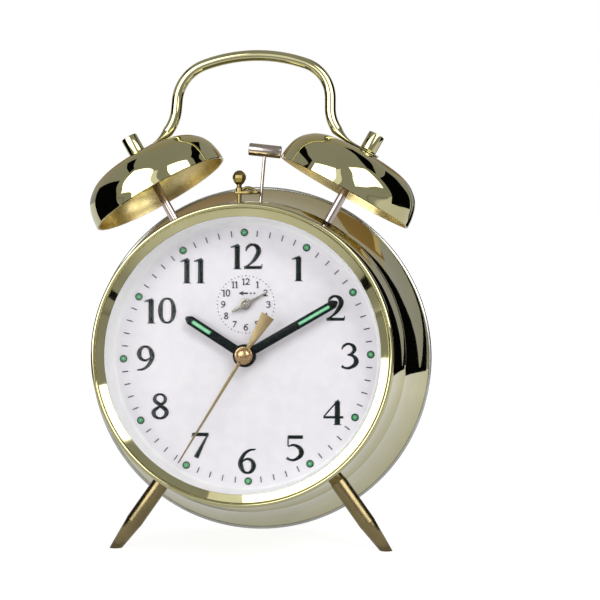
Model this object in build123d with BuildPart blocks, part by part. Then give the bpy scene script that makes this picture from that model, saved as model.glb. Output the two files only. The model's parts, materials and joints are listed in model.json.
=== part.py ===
from build123d import *
from math import asin, atan2, cos, degrees, hypot, pi, radians, sin
import os

# A leaning twin-bell alarm clock with its wind-up movement.  Millimetres throughout.
#
# The clock is drawn in its own case frame: x to the right, y into the clock from the
# face of the dial, z up, with the centre of the dial at the origin.  It leans back on
# two feet and the rim of its back cover, and STAND carries the case frame to the table.

# ---- case, dial and glass
WALL = 0.8
DIAL_RADIUS = 47.6
DIAL_THICK = 0.5
BEZEL_FRONT = -14.4
BEZEL_REAR = -6.6
LIP_RADIUS = 44.8
NECK_RADIUS = 49.0
CREASE_Y = 15.7
CREASE_RADIUS = 51.9
SKIRT_REAR = 45.25
SKIRT_RADIUS = 59.6
RIM_RADIUS = 60.0
RIM_BEAD = 0.85
COVER_FRONT = 44.2

# ---- stand: feet, lean and the place of the origin under the middle of the clock
LEAN = 8.0
FOOT_ANGLE = 144.7
FOOT_Y = 14.5
FOOT_RADIUS = 2.85
FOOT_TIP_RADIUS = 1.6
FOOT_TAPER = 68.2
FOOT_END = 80.6
RIM_Y = SKIRT_REAR + RIM_BEAD
STAND_Z = (RIM_RADIUS - RIM_BEAD) * cos(radians(LEAN)) + RIM_Y * sin(radians(LEAN)) + RIM_BEAD
STAND_Y = -20.98

# ---- bells, posts, nuts and handle
BELL_ANGLE = 29.5
BELL_Y = 17.6
BELL_RIM = 63.1
BELL_RADIUS = 24.5
BELL_HEIGHT = 15.2
BELL_SIDE = 20.0
BELL_SHOULDER = 9.0
POST_RADIUS = 1.5
STUD_RADIUS = 1.2
HANDLE_RADIUS = 1.7
HANDLE_TOP = 101.6
HANDLE_HALF = 26.4
CREST_BEND = 51.3
SHOULDER_BEND = 14.0
FOOT_BEND = 8.0
TAB_THICK = 1.0
TAB_WIDTH = 6.4
NUT_RADIUS = 2.8
NUT_HEIGHT = 6.2
CROWN = BELL_RIM + BELL_HEIGHT

# ---- hammer and alarm stop
HAMMER = (2.6, 28.0)
HAMMER_SWING = 11.0
HEAD_RADIUS = 2.0
HEAD_LENGTH = 10.4
HEAD_CENTRE = (4.1, 69.4)
HEAD_TILT = -6.7
ROD_RADIUS = 0.55
ROD_BOSS = 2.3
STOP_X = -3.9
STOP_Y = 14.3
STOP_ARM_Z = 55.0
STOP_ARM_THICK = 0.8
STOP_ARM_REACH = 5.9

# ---- hands: length, width and the clock angle where each one points
HOUR_HAND = (22.6, 2.5, 305.0)
MINUTE_HAND = (35.0, 2.3, 60.5)
SECOND_HAND = (41.0, 15.2, 211.4)
ALARM_HAND_TURN = 61.0
HAND_THICK = 0.4
LUME_WIDTH = 0.95
HOUR_HAND_Y = -3.2
MINUTE_HAND_Y = -5.2
SECOND_HAND_Y = -6.6
ALARM_HAND_Y = -1.6

# ---- movement: the two plates and what they carry
PLATE_RADIUS = 42.0
PLATE_THICK = 1.2
FRONT_PLATE = 6.0
BACK_PLATE = 23.2
PILLAR_CIRCLE = 38.0
PILLAR_RADIUS = 2.5
PIVOT_RADIUS = 0.5
RUNNING = 0.08
ARBOR = 0.75
WINDING_ARBOR = 2.0
CANNON = 1.5
HOUR_TUBE = 2.3
KEY_FRONT = 47.6

CENTRE = (0.0, 0.0)
ALARM_HAND = (0.0, 16.9)
MOTION_DISTANCE = 10.5625
MINUTE_ARBOR = (-7.22, -7.71)
INTERMEDIATE = (-14.0, 0.39)
THIRD = (-6.39, 7.29)
ESCAPE = (7.54, -5.28)
PALLET = (13.67, -10.42)
BALANCE = (22.28, -14.43)
TIME_WINDING = (-21.0, -13.0)
ALARM_WINDING = (18.0, 12.0)
ALARM_ESCAPE = (8.1, 22.3)

# ---- trains: modules, teeth and the depth where each wheel turns
MOTION_FINE = 2 * MOTION_DISTANCE / (12 + 36)
MOTION_SLOW = 2 * MOTION_DISTANCE / (10 + 40)
DRIVE_MODULE = 0.42
TRAIN_MODULE = 0.38
ESCAPE_MODULE = 0.40
GREAT_TEETH = 60
INTERMEDIATE_TEETH = 48
THIRD_TEETH = 45
SECONDS_TEETH = 40
LEAF_OVERRUN = 0.5
HOUR_WHEEL_Y = 2.0
MINUTE_WHEEL_Y = 4.1
GREAT_Y = 8.2
SPRING_Y = 10.4
ESCAPE_Y = 10.8
ROLLER_Y = 12.4
SECONDS_Y = 13.5
BALANCE_Y = 15.4
THIRD_Y = 17.5
HAIRSPRING_Y = 19.1
VERGE_Y = 21.1
INTERMEDIATE_Y = 21.3
THIN_WHEEL = 0.8
THICK_WHEEL = 1.0
ESCAPE_THICK = 0.7

# ---- regulator and knobs on the back
REGULATOR_REACH = 14.0
REGULATOR_REST = 20.0
REGULATOR_SWING = 25.0
PIN_CIRCLE = 6.1
KNOB_RADIUS = 5.6
KNOB_FRONT = 46.6
KNOB_DEPTH = 5.0

STAND = Location((0, STAND_Y, STAND_Z), (-LEAN, 0, 0))


# ------------------------------------------------------------------ planes and axes
def stood(origin, x_dir, z_dir):
    """A plane given in the case frame, carried to where the leaning clock stands."""
    return Plane(STAND * Plane(origin=origin, x_dir=x_dir, z_dir=z_dir).location)


def facing(y, at=CENTRE):
    """A plane square to the dial axis at depth y: its x is right, its y is up."""
    return stood((at[0], y, at[1]), (1, 0, 0), (0, -1, 0))


def profile(at=CENTRE):
    """A plane through an arbor, for turned profiles: its x is depth, its y is radius."""
    return stood((at[0], 0, at[1]), (0, 1, 0), (1, 0, 0))


def turning_axis(at=CENTRE):
    """The axis of a profile plane, running into the clock."""
    plane = profile(at)
    return Axis(plane.origin, plane.x_dir)


def spoke_profile(angle, y):
    """A plane holding a spoke of the dial: x is across the spoke, y is distance along it."""
    a = radians(angle)
    return stood((0, y, 0), (cos(a), 0, -sin(a)), (0, -1, 0))


def spoke(angle, y, distance):
    """A plane square to a spoke, which points away from the dial centre."""
    a = radians(angle)
    tip = (distance * sin(a), y, distance * cos(a))
    return stood(tip, (cos(a), 0, -sin(a)), (sin(a), 0, cos(a)))


def spoke_axis(angle, y):
    plane = spoke(angle, y, 0)
    return Axis(plane.origin, plane.z_dir)


def deliver(piece, label):
    """Name a finished piece and write it."""
    piece.part.label = label
    export_step(piece.part, f"parts/{label}.step")


# ------------------------------------------------------------------ gear teeth
def bearing(start, end):
    """Direction from one arbor to another, in degrees."""
    return degrees(atan2(end[1] - start[1], end[0] - start[0]))


def meshed(driver_teeth, driver_phase, teeth, line):
    """Phase that puts a gap of this gear on the driver's tooth along their line of centres."""
    shift = driver_phase - line
    return line + 180 + 180 / teeth - shift * driver_teeth / teeth


def tooth_points(teeth, module, phase, leaf=False):
    """Outline of a spur gear: flanks taper from root to tip; a pinion's leaves are slimmer."""
    pitch = teeth * module / 2
    pitch_angle = 360 / teeth
    tip = pitch + (0.62 if leaf else 0.85) * module
    root = pitch - (1.15 if leaf else 0.95) * module
    rising = [(root, -0.18), (pitch, -0.15), (tip, -0.06)] if leaf else [(root, -0.25), (tip, -0.09)]
    steps = rising + [(radius, -part) for radius, part in reversed(rising)]
    points = []
    for index in range(teeth):
        for radius, part in steps:
            angle = radians(phase + (index + part) * pitch_angle)
            points.append((radius * cos(angle), radius * sin(angle)))
    return points


def wheel(at, y, thick, teeth, module, phase, bore, rim=1.6, hub=2.6, arms=2):
    """A crossed-out brass wheel: a toothed rim, a hub, and arms right across."""
    rim_inner = teeth * module / 2 - 0.95 * module - rim
    with BuildPart() as piece:
        with BuildSketch(facing(y, at)):
            with BuildLine():
                Polyline(*tooth_points(teeth, module, phase), close=True)
            make_face()
            Circle(rim_inner, mode=Mode.SUBTRACT)
            Circle(hub)
            with PolarLocations(0, arms, angular_range=180):
                Rectangle(2 * rim_inner + 0.4, 1.5)
            Circle(bore, mode=Mode.SUBTRACT)
        extrude(amount=-thick)
    return piece


def arbor(at, steps, pinions=(), bore=0):
    """A turned arbor from (y start, y end, radius) steps, with its pinions cut in one piece."""
    with BuildPart() as piece:
        for start, end, radius in steps:
            with BuildSketch(facing(start, at)):
                Circle(radius)
            extrude(amount=start - end)
        for start, end, teeth, module, phase in pinions:
            with BuildSketch(facing(start, at)):
                with BuildLine():
                    Polyline(*tooth_points(teeth, module, phase, leaf=True), close=True)
                make_face()
            extrude(amount=start - end)
        if bore:
            first = min(step[0] for step in steps)
            last = max(step[1] for step in steps)
            with BuildSketch(facing(first, at)):
                Circle(bore)
            extrude(amount=first - last, mode=Mode.SUBTRACT)
    return piece


def between_plates(radius=ARBOR):
    """Steps of an arbor that runs between the plates on two pivots."""
    gap = 0.1
    front = FRONT_PLATE + PLATE_THICK + gap
    back = BACK_PLATE - gap
    return [(FRONT_PLATE, front, PIVOT_RADIUS),
            (front, back, radius),
            (back, BACK_PLATE + PLATE_THICK, PIVOT_RADIUS)]


def leaves(y, thick, teeth, module, phase):
    """Pinion for arbor(), a little longer than the wheel that it meshes with."""
    return (y - LEAF_OVERRUN, y + thick + LEAF_OVERRUN, teeth, module, phase)


def ribbon(at, y, width, inner, outer, turns, thick, start=0):
    """A flat spring wound in a spiral."""
    facets = 14
    count = int(turns * facets)
    spiral = []
    for index in range(count + 1):
        radius = inner + (outer - inner) * index / count
        angle = radians(start + 360 * index / facets)
        spiral.append((radius, angle))
    inside = [(r * cos(a), r * sin(a)) for r, a in spiral]
    outside = [((r + thick) * cos(a), (r + thick) * sin(a)) for r, a in reversed(spiral)]
    with BuildPart() as piece:
        with BuildSketch(facing(y, at)):
            with BuildLine():
                Polyline(*inside, *outside, close=True)
            make_face()
        extrude(amount=-width)
    return piece


# ------------------------------------------------------------------ case
def case_outline():
    """Draw the outside of neck and skirt in the current BuildLine; returns its two ends."""
    start = (BEZEL_REAR + 0.3, NECK_RADIUS - 0.5)
    roll = Line(start, (BEZEL_REAR + 0.8, NECK_RADIUS))
    neck = Line(roll @ 1, (CREASE_Y - 0.6, CREASE_RADIUS - 0.35))
    crease = Line(neck @ 1, (CREASE_Y, CREASE_RADIUS))
    skirt = Spline(crease @ 1, (30.5, 55.3), (SKIRT_REAR, SKIRT_RADIUS), tangents=[(1, 0.16), (1, 0.27)])
    return start, skirt @ 1


def make_envelope():
    """The space inside the case's outline, to saddle feet and posts on the case."""
    with BuildPart() as piece:
        with BuildSketch(profile()):
            with BuildLine():
                start, end = case_outline()
                Polyline(end, (SKIRT_REAR, PILLAR_CIRCLE), (start[0], PILLAR_CIRCLE), start)
            make_face()
        revolve(axis=turning_axis())
    return piece


def make_case_shell():
    """Pressed neck and flared skirt, open at both ends, pierced for posts, feet and levers."""
    with BuildPart() as piece:
        with BuildSketch(profile()):
            with BuildLine():
                start, end = case_outline()
                edge = Line(end, (SKIRT_REAR, SKIRT_RADIUS - WALL))
                back = Spline(edge @ 1, (30.5, 55.3 - WALL), (CREASE_Y, CREASE_RADIUS - WALL),
                              tangents=[(-1, -0.27), (-1, -0.16)])
                step = Line(back @ 1, (CREASE_Y - 0.6, CREASE_RADIUS - 0.35 - WALL))
                lip = Line(step @ 1, (start[0], NECK_RADIUS - WALL))
                Line(lip @ 1, start)
            make_face()
        revolve(axis=turning_axis())
        for angle in (-BELL_ANGLE, BELL_ANGLE):
            with BuildSketch(spoke(angle, BELL_Y, 45)):
                Circle(STUD_RADIUS + 0.1)
            extrude(amount=12, mode=Mode.SUBTRACT)
        for angle in (-FOOT_ANGLE, FOOT_ANGLE):
            with BuildSketch(spoke(angle, FOOT_Y, 45)):
                Circle(POST_RADIUS + 0.1)
            extrude(amount=12, mode=Mode.SUBTRACT)
        with BuildSketch(spoke(0, BELL_Y, 45)):
            with Locations((0.9, 0)):
                SlotOverall(9.6, 2.6)
        extrude(amount=12, mode=Mode.SUBTRACT)
        with BuildSketch(spoke(0, STOP_Y, 45)):
            with Locations((STOP_X + 0.6, 0)):
                Rectangle(3.4, 2.2)
        extrude(amount=12, mode=Mode.SUBTRACT)
    return piece


def make_bezel():
    """Spun ring: rolled bead, dished inner face, and a spigot that snaps into the neck."""
    bead_outer = NECK_RADIUS + 0.05
    with BuildPart() as piece:
        with BuildSketch(profile()):
            with BuildLine():
                dish = ThreePointArc((-12.7, LIP_RADIUS), (-13.35, 46.2), (BEZEL_FRONT, 47.5))
                bead = ThreePointArc(dish @ 1, (-14.35, 48.7), (-13.2, bead_outer))
                side = Line(bead @ 1, (BEZEL_REAR, 48.6))
                under = Line(side @ 1, (BEZEL_REAR, 48.05))
                spigot = Line(under @ 1, (-3.2, 48.05))
                end = Line(spigot @ 1, (-3.2, 47.5))
                inside = Line(end @ 1, (-10.3, 47.7))
                pocket = Line(inside @ 1, (-12.1, 47.7))
                seat = Line(pocket @ 1, (-12.1, LIP_RADIUS + 0.2))
                Line(seat @ 1, dish @ 0)
            make_face()
        revolve(axis=turning_axis())
    return piece


def make_glass():
    """Flat crystal held behind the bezel's lip."""
    with BuildPart() as piece:
        with BuildSketch(facing(-12.1)):
            Circle(47.6)
        extrude(amount=-1.7)
        front_edge = piece.faces().sort_by(turning_axis())[0].edges()
        chamfer(front_edge, 0.3)
    return piece


def make_reflector():
    """White flared ring that fills the depth between the dial and the glass."""
    with BuildPart() as piece:
        with BuildSketch(profile()):
            with BuildLine():
                cone = Line((-10.3, 45.4), (-1.4, 44.2))
                foot = ThreePointArc(cone @ 1, (-0.45, 43.85), (0, 43.1))
                base = Line(foot @ 1, (0, 46.9))
                outer = Line(base @ 1, (-10.3, 46.9))
                Line(outer @ 1, cone @ 0)
            make_face()
        revolve(axis=turning_axis())
    return piece


def make_dial():
    """Dial plate with holes for the hands' tubes."""
    with BuildPart() as piece:
        with BuildSketch(facing(0)):
            Circle(DIAL_RADIUS)
            Circle(2.9, mode=Mode.SUBTRACT)
            with Locations(ALARM_HAND):
                Circle(1.2, mode=Mode.SUBTRACT)
        extrude(amount=-DIAL_THICK)
        with BuildSketch(facing(DIAL_THICK)):
            with PolarLocations(36, 3, start_angle=90):
                Circle(1.5)
        extrude(amount=DIAL_THICK - FRONT_PLATE)
    return piece


def pillar_places():
    """Places of the four pillars, behind the bell posts and the feet."""
    places = []
    for angle in (-FOOT_ANGLE, -BELL_ANGLE, BELL_ANGLE, FOOT_ANGLE):
        a = radians(angle)
        places.append((PILLAR_CIRCLE * sin(a), PILLAR_CIRCLE * cos(a)))
    return places


def regulator_slot(radius, margin):
    """Arc about the balance that the regulator sweeps, with a margin in degrees at each end."""
    swing = REGULATOR_SWING + margin
    return CenterArc(BALANCE, radius, REGULATOR_REST - swing, 2 * swing)


def make_back_cover():
    """Pressed cover with a rolled rim, holes for the arbors and a slot for the regulator."""
    sweep_arc = regulator_slot(REGULATOR_REACH, 3)
    with BuildPart() as piece:
        with BuildSketch(profile()):
            with BuildLine():
                front = Line((COVER_FRONT, 0), (COVER_FRONT, 57.3))
                rise = Line(front @ 1, (SKIRT_REAR, 58.1))
                flange = Line(rise @ 1, (SKIRT_REAR, RIM_RADIUS - RIM_BEAD))
                bead_end = (RIM_Y + RIM_BEAD, RIM_RADIUS - RIM_BEAD)
                bead = ThreePointArc(flange @ 1, (RIM_Y, RIM_RADIUS), bead_end)
                roll = ThreePointArc(bead @ 1, (RIM_Y + 0.5, 58.4), (RIM_Y - 0.1, 57.9))
                fall = Line(roll @ 1, (COVER_FRONT + WALL, 56.9))
                rear = Line(fall @ 1, (COVER_FRONT + WALL, 0))
                Line(rear @ 1, front @ 0)
            make_face()
        revolve(axis=turning_axis())
        with BuildSketch(facing(COVER_FRONT - 1)):
            with Locations(TIME_WINDING, ALARM_WINDING):
                Circle(WINDING_ARBOR + 0.6)
            with Locations(MINUTE_ARBOR, ALARM_HAND):
                Circle(ARBOR + 0.8)
            with Locations(*pillar_places()):
                Circle(1.35)
            SlotArc(sweep_arc, height=2.8)
        extrude(amount=-4, mode=Mode.SUBTRACT)
    return piece


def make_cover_screws():
    """Four round-headed screws with slots, into the spacers."""
    with BuildPart() as piece:
        for place in pillar_places():
            with BuildSketch(facing(COVER_FRONT - 5, place)):
                Circle(1.25)
            extrude(amount=-(5 + WALL))
            with BuildSketch(facing(COVER_FRONT + WALL, place)):
                Circle(2.4)
            extrude(amount=-1.3)
            with BuildSketch(facing(COVER_FRONT + WALL + 0.7, place)):
                Rectangle(6, 0.7, rotation=35)
            extrude(amount=-1, mode=Mode.SUBTRACT)
    return piece


# ------------------------------------------------------------------ feet, bells, handle
def make_foot(angle):
    """Turned foot: a plain shank saddled on the case, a taper, and a sole cut flat by the table."""
    with BuildPart() as piece:
        with BuildSketch(spoke_profile(angle, FOOT_Y)):
            with BuildLine():
                Polyline((0, 50), (FOOT_RADIUS, 50), (FOOT_RADIUS, FOOT_TAPER),
                         (FOOT_TIP_RADIUS, FOOT_END), (0, FOOT_END), close=True)
            make_face()
        revolve(axis=spoke_axis(angle, FOOT_Y))
        add(envelope.part, mode=Mode.SUBTRACT)
        with BuildSketch(spoke(angle, FOOT_Y, PILLAR_CIRCLE + PILLAR_RADIUS)):
            Circle(POST_RADIUS)
        extrude(amount=14)
        split(bisect_by=Plane.XY, keep=Keep.TOP)
    return piece


def make_post(angle):
    """Steel post with a threaded end for the bell and a stud into its pillar."""
    with BuildPart() as piece:
        with BuildSketch(spoke(angle, BELL_Y, 50)):
            Circle(POST_RADIUS)
        extrude(amount=CROWN - WALL - 50)
        add(envelope.part, mode=Mode.SUBTRACT)
        with BuildSketch(spoke(angle, BELL_Y, PILLAR_CIRCLE + PILLAR_RADIUS)):
            Circle(STUD_RADIUS)
        extrude(amount=CROWN + TAB_THICK + 4 - PILLAR_CIRCLE - PILLAR_RADIUS)
    return piece


def make_bell(angle):
    """Spun bell: steep side, round shoulder, flat crown, a thin wall and a hole for the post."""
    hole = STUD_RADIUS + 0.1
    with BuildPart() as piece:
        with BuildSketch(spoke_profile(angle, BELL_Y)):
            with BuildLine():
                side = JernArc((BELL_RADIUS, BELL_RIM), (0, 1), BELL_SIDE, 24.3)
                shoulder = JernArc(side @ 1, side % 1, BELL_SHOULDER, 51.3)
                crown = TangentArc(shoulder @ 1, (hole, CROWN), tangent=shoulder % 1)
                rim = (BELL_RADIUS - WALL, BELL_RIM)
                inner_side = JernArc(rim, (0, 1), BELL_SIDE - WALL, 24.3)
                inner_shoulder = JernArc(inner_side @ 1, inner_side % 1, BELL_SHOULDER - WALL, 51.3)
                inner_crown = TangentArc(inner_shoulder @ 1, (hole, CROWN - WALL), tangent=inner_shoulder % 1)
                Line(crown @ 1, inner_crown @ 1)
                Line(rim, side @ 0)
            make_face()
        revolve(axis=spoke_axis(angle, BELL_Y))
    return piece


def make_bell_nut(angle):
    """Tall round nut that clamps the handle's tab and the bell."""
    seat = CROWN + TAB_THICK
    with BuildPart() as piece:
        with BuildSketch(spoke(angle, BELL_Y, seat)):
            Circle(NUT_RADIUS)
        extrude(amount=NUT_HEIGHT)
        chamfer(piece.edges().filter_by(GeomType.CIRCLE), 0.25)
        with BuildSketch(spoke(angle, BELL_Y, seat)):
            Circle(STUD_RADIUS)
        extrude(amount=4.2, mode=Mode.SUBTRACT)
    return piece


def make_handle():
    """Bent round bar, flattened at each end into a drilled tab on top of a bell."""
    beta = radians(BELL_ANGLE)
    crest_turn = degrees(asin((HANDLE_HALF - SHOULDER_BEND) / (CREST_BEND - SHOULDER_BEND)))
    lift = CROWN + HANDLE_RADIUS + 0.05
    end_x = HANDLE_HALF + FOOT_BEND * (1 - sin(beta))
    slide = (end_x - lift * sin(beta)) / cos(beta)
    end_z = lift * cos(beta) - slide * sin(beta)
    with BuildPart() as piece:
        with BuildLine(facing(BELL_Y)) as route:
            crest = JernArc(start=(0, HANDLE_TOP), tangent=(1, 0), radius=CREST_BEND, arc_size=-crest_turn)
            shoulder = JernArc(crest @ 1, tangent=crest % 1, radius=SHOULDER_BEND, arc_size=crest_turn - 90)
            leg = Line(shoulder @ 1, (HANDLE_HALF, end_z + FOOT_BEND * cos(beta)))
            JernArc(leg @ 1, tangent=(0, -1), radius=FOOT_BEND, arc_size=90 - BELL_ANGLE)
            mirror(about=stood((0, 0, 0), (0, 1, 0), (1, 0, 0)))
        with BuildSketch(stood((0, BELL_Y, HANDLE_TOP), (0, 1, 0), (1, 0, 0))):
            Circle(HANDLE_RADIUS)
        sweep(path=route.wires()[0])
        for side in (-1, 1):
            heading = (side * cos(beta), 0, -sin(beta))
            flat_x = CROWN * sin(beta) + TAB_THICK / 2 * sin(beta) - 5.2 * cos(beta)
            flat_z = (CROWN + TAB_THICK / 2) * cos(beta) + 5.2 * sin(beta)
            with BuildSketch(stood((side * end_x, BELL_Y, end_z), (0, 1, 0), heading)):
                Circle(HANDLE_RADIUS)
            with BuildSketch(stood((side * flat_x, BELL_Y, flat_z), (0, 1, 0), heading)):
                Rectangle(TAB_WIDTH, TAB_THICK)
            loft()
            with BuildSketch(spoke(side * BELL_ANGLE, BELL_Y, CROWN)):
                with Locations((-side * 0.1, 0)):
                    SlotOverall(10.4, TAB_WIDTH)
                Circle(STUD_RADIUS + 0.1, mode=Mode.SUBTRACT)
            extrude(amount=TAB_THICK)
    return piece


# ------------------------------------------------------------------ hammer and stop
def make_hammer_head():
    with BuildPart() as piece:
        tilt = radians(HEAD_TILT)
        half = HEAD_LENGTH / 2
        start = (HEAD_CENTRE[0] - half * cos(tilt), BELL_Y, HEAD_CENTRE[1] - half * sin(tilt))
        with BuildSketch(stood(start, (0, 1, 0), (cos(tilt), 0, sin(tilt)))):
            Circle(HEAD_RADIUS)
        extrude(amount=HEAD_LENGTH)
        chamfer(piece.edges().filter_by(GeomType.CIRCLE), 0.2)
    return piece


def make_hammer_rod():
    """Thin steel rod from the boss on the hammer arbor to the underside of the head."""
    top = (HEAD_CENTRE[0] - 0.35, HEAD_CENTRE[1] - HEAD_RADIUS - 0.01)
    run = (top[0] - HAMMER[0], top[1] - HAMMER[1])
    length = hypot(*run)
    unit = (run[0] / length, run[1] / length)
    start = (HAMMER[0] + ROD_BOSS * unit[0], BELL_Y, HAMMER[1] + ROD_BOSS * unit[1])
    with BuildPart() as piece:
        with BuildSketch(stood(start, (0, 1, 0), (unit[0], 0, unit[1]))):
            Circle(ROD_RADIUS)
        extrude(amount=length - ROD_BOSS)
    return piece


def make_hammer_arbor():
    """Arbor with the rod's boss and the verge, whose two prongs straddle the alarm escape wheel."""
    towards = bearing(HAMMER, ALARM_ESCAPE) - HAMMER_SWING / 2
    with BuildPart() as piece:
        rod_boss = (BELL_Y - 1.4, BELL_Y + 1.4, ROD_BOSS)
        verge_boss = (VERGE_Y - 0.4, VERGE_Y + 1.2, 1.9)
        for start, end, radius in between_plates(1.0) + [rod_boss, verge_boss]:
            with BuildSketch(facing(start, HAMMER)):
                Circle(radius)
            extrude(amount=start - end)
        with BuildSketch(facing(VERGE_Y, HAMMER)):
            for spread in (-50, 50):
                with PolarLocations(3.0, 1, start_angle=towards + spread):
                    Rectangle(5.6, 1.3)
        extrude(amount=-THIN_WHEEL)
    return piece


def make_alarm_stop():
    """Faceted knob on a stem, with the flat arm that turns against the hammer rod to hold it."""
    stem = facing(STOP_Y, (STOP_X, 0))
    with BuildPart() as piece:
        with BuildSketch(stem):
            with BuildLine():
                Polyline((0, 48.6), (1.9, 48.6), (1.9, 49.6), (0.8, 49.6), (0.8, 54.6),
                         (1.15, 54.6), (1.15, 56.8), (0.75, 57.0), (0.75, 57.7),
                         (2.35, 59.7), (2.0, 61.0), (1.0, 62.3), (0, 62.3), close=True)
            make_face()
        revolve(axis=Axis(stem.origin, stem.y_dir))
        with BuildSketch(spoke(0, STOP_Y, STOP_ARM_Z)):
            with Locations((STOP_X + STOP_ARM_REACH - 3.1, 0)):
                SlotOverall(8.4, 2.2)
        extrude(amount=STOP_ARM_THICK)
        with BuildSketch(facing(STOP_Y - 0.6, (STOP_X + 3.4, STOP_ARM_Z + 0.4))):
            Circle(1.9)
            Circle(1.35, mode=Mode.SUBTRACT)
            with Locations((0, -2)):
                Rectangle(6, 4, mode=Mode.SUBTRACT)
        extrude(amount=-1.2)
    return piece


# ------------------------------------------------------------------ frame of the movement
def make_plate(y, holes, slot=False):
    """Round brass plate, drilled for pillars and pivots; (place, radius) lists the holes."""
    sweep_arc = regulator_slot(PIN_CIRCLE, 8)
    with BuildPart() as piece:
        with BuildSketch(facing(y)):
            Circle(PLATE_RADIUS)
            with Locations(*pillar_places()):
                Circle(POST_RADIUS, mode=Mode.SUBTRACT)
            for place, radius in holes:
                with Locations(place):
                    Circle(radius, mode=Mode.SUBTRACT)
            if slot:
                SlotArc(sweep_arc, height=2.0, mode=Mode.SUBTRACT)
        extrude(amount=-PLATE_THICK)
        if slot:
            stud = (BALANCE[0] + 6.5 * cos(radians(150)), BALANCE[1] + 6.5 * sin(radians(150)))
            with BuildSketch(facing(HAIRSPRING_Y, stud)):
                Circle(0.8)
            extrude(amount=HAIRSPRING_Y - BACK_PLATE)
    return piece


def make_pillars():
    """Four pillars with shouldered ends, riveted to the front plate."""
    with BuildPart() as piece:
        for place in pillar_places():
            for start, end, radius in [(FRONT_PLATE, FRONT_PLATE + PLATE_THICK, POST_RADIUS),
                                       (FRONT_PLATE + PLATE_THICK, BACK_PLATE, PILLAR_RADIUS),
                                       (BACK_PLATE, BACK_PLATE + 4, POST_RADIUS)]:
                with BuildSketch(facing(start, place)):
                    Circle(radius)
                extrude(amount=start - end)
    return piece


def make_spacers():
    """Four hexagonal spacers that hold the back plate and carry the cover's screws."""
    start = BACK_PLATE + PLATE_THICK
    with BuildPart() as piece:
        for place in pillar_places():
            with BuildSketch(facing(start, place)):
                RegularPolygon(3.2, 6)
                Circle(POST_RADIUS, mode=Mode.SUBTRACT)
            extrude(amount=start - COVER_FRONT)
    return piece


def make_regulator():
    """Ring around the balance pivot, two pins astride the hairspring and a tail through the cover."""
    start = BACK_PLATE + PLATE_THICK + 0.1
    a = radians(REGULATOR_REST)
    tail = (BALANCE[0] + REGULATOR_REACH * cos(a), BALANCE[1] + REGULATOR_REACH * sin(a))
    with BuildPart() as piece:
        with BuildSketch(facing(start, BALANCE)):
            Circle(3.2)
            with PolarLocations(REGULATOR_REACH / 2, 1, start_angle=REGULATOR_REST):
                Rectangle(REGULATOR_REACH, 2.0)
            Circle(1.4, mode=Mode.SUBTRACT)
        extrude(amount=-0.8)
        with BuildSketch(facing(start, tail)):
            Circle(1.0)
        extrude(amount=start - (COVER_FRONT + WALL + 3.0))
        for radius in (PIN_CIRCLE - 0.4, PIN_CIRCLE + 0.4):
            pin = (BALANCE[0] + radius * cos(a), BALANCE[1] + radius * sin(a))
            with BuildSketch(facing(HAIRSPRING_Y, pin)):
                Circle(0.22)
            extrude(amount=HAIRSPRING_Y - start)
    return piece


# ------------------------------------------------------------------ escapements
def escape_wheel(at, y, teeth, radius, bore):
    """Club-footed escape wheel on four arms."""
    points = []
    for index in range(teeth):
        for part, reach in ((0.0, radius), (0.14, radius), (0.34, radius - 1.1), (0.86, radius - 1.1)):
            angle = 2 * pi * (index + part) / teeth
            points.append((reach * cos(angle), reach * sin(angle)))
    rim_inner = radius - 1.9
    with BuildPart() as piece:
        with BuildSketch(facing(y, at)):
            with BuildLine():
                Polyline(*points, close=True)
            make_face()
            Circle(rim_inner, mode=Mode.SUBTRACT)
            Circle(1.7)
            with PolarLocations(0, 2, angular_range=180):
                Rectangle(2 * rim_inner + 0.4, 0.9)
            Circle(bore, mode=Mode.SUBTRACT)
        extrude(amount=-ESCAPE_THICK)
    return piece


def make_pallet_lever():
    """Lever with two steel pallet pins towards the escape wheel and a fork towards the balance."""
    to_wheel = bearing(PALLET, ESCAPE)
    to_balance = bearing(PALLET, BALANCE)
    with BuildPart() as piece:
        for start, end, radius in between_plates(0.6):
            with BuildSketch(facing(start, PALLET)):
                Circle(radius)
            extrude(amount=start - end)
        with BuildSketch(facing(ESCAPE_Y, PALLET)):
            Circle(1.3)
            with PolarLocations(3.3, 1, start_angle=to_balance):
                Rectangle(6.6, 1.0)
            with PolarLocations(6.3, 1, start_angle=to_balance):
                Rectangle(1.2, 2.6)
            with PolarLocations(6.8, 1, start_angle=to_balance):
                Rectangle(0.9, 0.8, mode=Mode.SUBTRACT)
            for spread in (-60, 60):
                with PolarLocations(2.5, 1, start_angle=to_wheel + spread):
                    Rectangle(5.0, 1.0)
        extrude(amount=-0.6)
        for spread in (-60, 60):
            a = radians(to_wheel + spread)
            with BuildSketch(facing(ESCAPE_Y - 0.3, (PALLET[0] + 5.0 * cos(a), PALLET[1] + 5.0 * sin(a)))):
                Circle(0.35)
            extrude(amount=-1.3)
    return piece


def make_balance_wheel():
    """Brass balance: a rim, one bar across and the hub."""
    with BuildPart() as piece:
        with BuildSketch(facing(BALANCE_Y, BALANCE)):
            Circle(8.0)
            Circle(6.8, mode=Mode.SUBTRACT)
            Circle(1.8)
            Rectangle(14, 1.4, rotation=40)
            Circle(0.8, mode=Mode.SUBTRACT)
        extrude(amount=-1.2)
    return piece


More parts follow.
